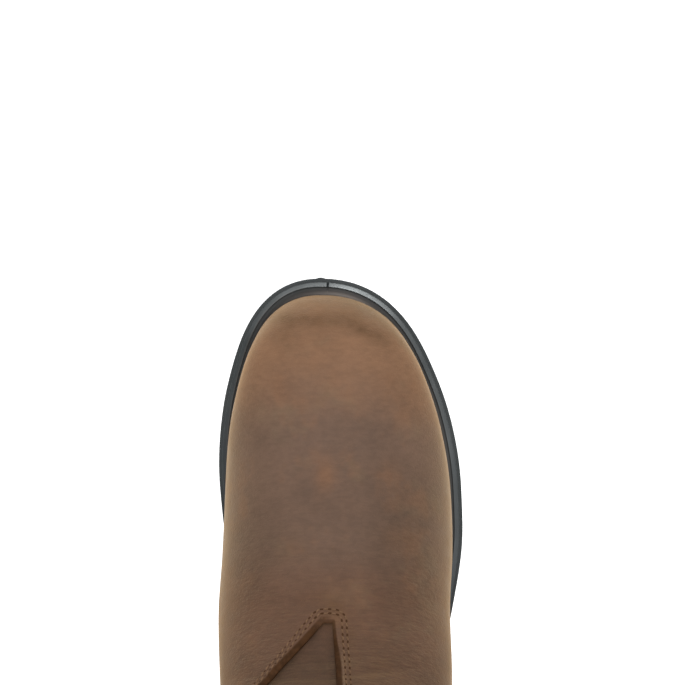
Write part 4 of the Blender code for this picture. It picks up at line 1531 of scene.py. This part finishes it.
# %% Rows beside the edge
ROW_INSETS = (4.2, 6.3)
LANDED = 0.8
NEWTON_STEPS = 6
SMALL_STEP = 1e-3
LEAST_SPREAD = 1e-9
SHAFT_POINTS = 260
CORNER_POINTS = 10
PEAK_POINTS = 20
ANKLE_POINTS = 360
ROW_CLEAR = 0.7
ANKLE_NEARER = 0.2
ANKLE_ANGLES = (0.05, 0.35)
ROW_TOP = 1.985
STAY_CLEAR = 0.03


def settle_on_leather(points, row):
    """The (level, angle) of the surface points nearest to points, from a first guess, by Newton steps.

    A point that doesn't come down close to where it was sent is left out.
    """
    level, angle = row.T
    for _ in range(NEWTON_STEPS):
        here = leather_place(level, angle)
        by_level = (leather_place(level + SMALL_STEP, angle) - here) / SMALL_STEP
        by_angle = (leather_place(level, angle + SMALL_STEP) - here) / SMALL_STEP
        miss = points - here
        level_square = np.sum(by_level ** 2, axis=-1)
        angle_square = np.sum(by_angle ** 2, axis=-1)
        shared = np.sum(by_level * by_angle, axis=-1)
        level_miss = np.sum(by_level * miss, axis=-1)
        angle_miss = np.sum(by_angle * miss, axis=-1)
        spread = np.maximum(level_square * angle_square - shared * shared, LEAST_SPREAD)
        level = np.clip(level + (angle_square * level_miss - shared * angle_miss) / spread, 0.0, 2.0)
        angle = angle + (level_square * angle_miss - shared * level_miss) / spread
    landed = np.linalg.norm(leather_place(level, angle) - points, axis=-1) < LANDED
    return np.stack((level, angle), axis=-1)[landed]


def side_path(row, inset):
    """A row moved sideways on the leather, to the right of its way, by one inset or one for each point."""
    path = leather_place(*row.T)
    across = unit(np.cross(np.gradient(path, axis=0), leather_normal(*row.T)))
    return settle_on_leather(path + across * np.reshape(inset, (-1, 1)), row)


def corner_path(corner, first, second, inset):
    """An arc on the leather round a corner, from the end of one row to the start of the next."""
    middle = leather_place(*corner)
    share = np.linspace(0.0, 1.0, CORNER_POINTS + 2)[1:-1, None]
    ray = unit(mix(leather_place(*first) - middle, leather_place(*second) - middle, share)) * inset
    return settle_on_leather(middle + ray, np.tile(corner, (CORNER_POINTS, 1)))


def vamp_row(inset):
    """The (level, angle) points of a row beside the vamp's edge: shaft, corner, peak, corner, ankle."""
    outer, inner = (1.0, -PEAK_OUTER_ANGLE), (1.0, PEAK_INNER_ANGLE)
    ankle_ends = (1.0, PEAK_INNER_ANGLE + SMALL_STEP), (1.0, BACKSTAY_ANGLE - STAY_CLEAR)
    ankle_leg = np.linspace(*ankle_ends, ANKLE_POINTS)
    nearer = 1.0 - ANKLE_NEARER * smooth_step(*ANKLE_ANGLES, ankle_leg[:, 1])
    shaft = side_path(np.linspace((ROW_TOP, -PEAK_OUTER_ANGLE), outer, SHAFT_POINTS), inset)
    front = side_path(np.linspace(outer, inner, PEAK_POINTS), inset)
    ankle = side_path(ankle_leg, inset * nearer)
    first_turn = corner_path(outer, shaft[-1], front[0], inset)
    second_turn = corner_path(inner, front[-1], ankle[0], inset)
    row = np.concatenate((shaft, first_turn, front, second_turn, ankle))
    return row[edge_distance(leather_place(*row.T)) > ROW_CLEAR * inset]


vamp_rows = [vamp_row(inset) for inset in ROW_INSETS]
print("points on the vamp's rows:", [len(row) for row in vamp_rows])

# %% [markdown]
# ## One stitch and one hole
# A stitch is a short thread sunk at both ends, a needle hole a shallow dark pit behind it. Both are small
# lofts of a few dozen faces, so hundreds of copies stay light. At every half pitch along a row stands a
# frame of three directions, and whole arrays carry the copies there.

# %% Stitch, hole and sewing
STITCH_PITCH = 3.6
STITCH_SHARE = 0.66
STITCH_RISE = 0.16
STITCH_SINK = 0.42
STITCH_SLANT = 0.25
THREAD_WIDTH = 0.80
THREAD_HEIGHT = 0.55
THREAD_STEPS = 7
THREAD_SIDES = 8
THREAD_END = 0.16
HOLE_RADIUS = 0.52
HOLE_LONGER = 1.8
HOLE_SIDES = 8
HOLE_RINGS = table("scale height", (1.0, -0.10), (0.8, 0.03), (0.45, 0.07), (0.12, 0.08))


def stitch_template():
    """A thread that rises out of one hole and sinks into the next: an oval carried along a low arch."""
    walk = np.linspace(-1.0, 1.0, THREAD_STEPS)[:, None]
    turn = ring_angles(THREAD_SIDES)
    girth = np.sqrt(np.clip(1.0 - walk ** 4, THREAD_END, 1.0))
    along = walk * STITCH_PITCH * STITCH_SHARE / 2
    out = STITCH_RISE - STITCH_SINK * walk ** 4 + THREAD_HEIGHT / 2 * girth * np.sin(turn)
    across = STITCH_SLANT * walk + THREAD_WIDTH / 2 * girth * np.cos(turn)
    return loft(np.stack(np.broadcast_arrays(along, out, across), axis=-1))


def hole_template():
    """A shallow pit at the end of a stitch: a low dome whose rim lies just under the leather's face."""
    radius = HOLE_RINGS.scale[:, None] * HOLE_RADIUS
    turn = ring_angles(HOLE_SIDES)
    along = radius * HOLE_LONGER * np.cos(turn)
    out = HOLE_RINGS.height[:, None]
    return loft(np.stack(np.broadcast_arrays(along, out, radius * np.sin(turn)), axis=-1))


def sew(rows, depth, folds=1.0):
    """Frames at every half pitch along rows on a face: place, along, out, across.

    The first of each pair is for a stitch, the second for the needle hole behind it.
    """
    parts = []
    for row in rows:
        skin = leather_skin(*row.T, depth, folds)
        walk = walked(skin)
        stops = np.arange(1, walk[-1] // STITCH_PITCH * 2 + 1) * STITCH_PITCH / 2
        *place, level, angle = (np.interp(stops, walk, values) for values in np.hstack((skin, row)).T)
        place = np.stack(place, axis=-1)
        parts.append((place, np.gradient(place, axis=0), leather_normal(level, angle)))
    place, along, out = (np.concatenate(part) for part in zip(*parts))
    along = unit(along)
    across = unit(np.cross(out, along))
    return place, along, np.cross(along, across), across


def sewn_piece(name, template, frames, first, material):
    """One mesh of copies of a template of (along, out, across) points, on every second frame."""
    points, faces = template
    place, along, out, across = (part[first::2, None, :] for part in frames)
    placed = place + along * points[:, 0:1] + out * points[:, 1:2] + across * points[:, 2:3]
    faces = repeat_faces(faces, len(placed), len(points))
    settle_piece(place_mesh(name, placed.reshape(-1, 3), faces, material), "boot_leather")


stitch, hole = stitch_template(), hole_template()
print("faces of a stitch and a hole:", len(stitch[1]), len(hole[1]))

# %% [markdown]
# ## The vamp's stitches
# The needle opens the holes widest at the peak, where the rows turn, and least round the ankle, where the
# thread is pulled flat. So each hole's frame is stretched by its place before the pits are carried there.

# %% Vamp stitches and holes
PEAK_HOLES_LARGER = 0.25
PEAK_HOLES_REACH = 8.0
ANKLE_HOLES_SMALLER = 0.35
ANKLE_FADE = (10.0, 28.0)

vamp_frames = sew(vamp_rows, 0.0)
sewn_piece("vamp_stitches", stitch, vamp_frames, 0, thread)
place, along, out, across = vamp_frames
peak_gap = np.linalg.norm(place - peak, axis=1, keepdims=True)
hole_size = 1.0 + PEAK_HOLES_LARGER * np.exp(-(peak_gap / PEAK_HOLES_REACH) ** 2)
hole_size -= ANKLE_HOLES_SMALLER * smooth_step(*ANKLE_FADE, place[:, :1])
sewn_piece("vamp_needle_holes", hole, (place, along * hole_size, out, across * hole_size), 1, pit)

# %% [markdown]
# ## Other seams
# The hidden seams are plain: two rows on each side of the backstay, one below the collar, which stops at
# the straps and at the vamp's edge, and a box on each strap's foot. A straight row is an even run from one
# (level, angle) to another.

# %% Backstay, collar and strap rows
STAY_ROW_SHARES = (-0.72, -0.50, 0.50, 0.72)
STAY_ROW_FOOT = 0.06
STAY_ROW_POINTS = 300
COLLAR_ROW_LEVEL = 1.972
COLLAR_ROW_POINTS = 200
STRAP_CLEAR = 0.32
EDGE_CLEAR = 0.13
STRAP_ROW_HALF = 0.185
STRAP_ROW_FOOT = STRAP_OUTER_FOOT + 0.02
STRAP_ROW_TOP = 1.93
STRAP_ROW_POINTS = 60


def collar_row(start, end):
    """A row just below the collar."""
    return np.linspace((COLLAR_ROW_LEVEL, start), (COLLAR_ROW_LEVEL, end), COLLAR_ROW_POINTS)


def strap_rows(side):
    """A box of stitches on the foot of a strap: two sides, the bottom and a bar below the collar."""
    ends = [side * (STRAP_ANGLE + half) for half in (-STRAP_ROW_HALF, STRAP_ROW_HALF)]
    levels = (STRAP_ROW_FOOT, STRAP_ROW_TOP)
    sides = [np.linspace((levels[0], end), (levels[1], end), STRAP_ROW_POINTS) for end in ends]
    bars = [np.linspace((level, ends[0]), (level, ends[1]), STRAP_ROW_POINTS) for level in levels]
    return sides + bars


stay_angles = [np.pi + stay_half * share for share in STAY_ROW_SHARES]
stay_rows = [np.linspace((STAY_ROW_FOOT, angle), (ROW_TOP, angle), STAY_ROW_POINTS)
             for angle in stay_angles]
outer_collar = [collar_row(-BACKSTAY_ANGLE + STAY_CLEAR, -STRAP_ANGLE - STRAP_CLEAR),
                collar_row(-STRAP_ANGLE + STRAP_CLEAR, -PEAK_OUTER_ANGLE - EDGE_CLEAR)]
inner_collar = [collar_row(PEAK_INNER_ANGLE, STRAP_ANGLE - STRAP_CLEAR),
                collar_row(STRAP_ANGLE + STRAP_CLEAR, BACKSTAY_ANGLE - STAY_CLEAR)]
seams = (
    sew(stay_rows, VAMP_WALL - BACKSTAY_WALL),
    sew(outer_collar, 0.0),
    sew(inner_collar, UPPER_FACE, UPPER_FOLDS),
    sew(strap_rows(1), VAMP_WALL - STRAP_THICK, 0.0),
    sew(strap_rows(-1), -GAP - STRAP_THICK, 0.0),
)
seam_frames = [np.concatenate(parts) for parts in zip(*seams)]
sewn_piece("shaft_stitches", stitch, seam_frames, 0, thread)
sewn_piece("shaft_needle_holes", hole, seam_frames, 1, pit)
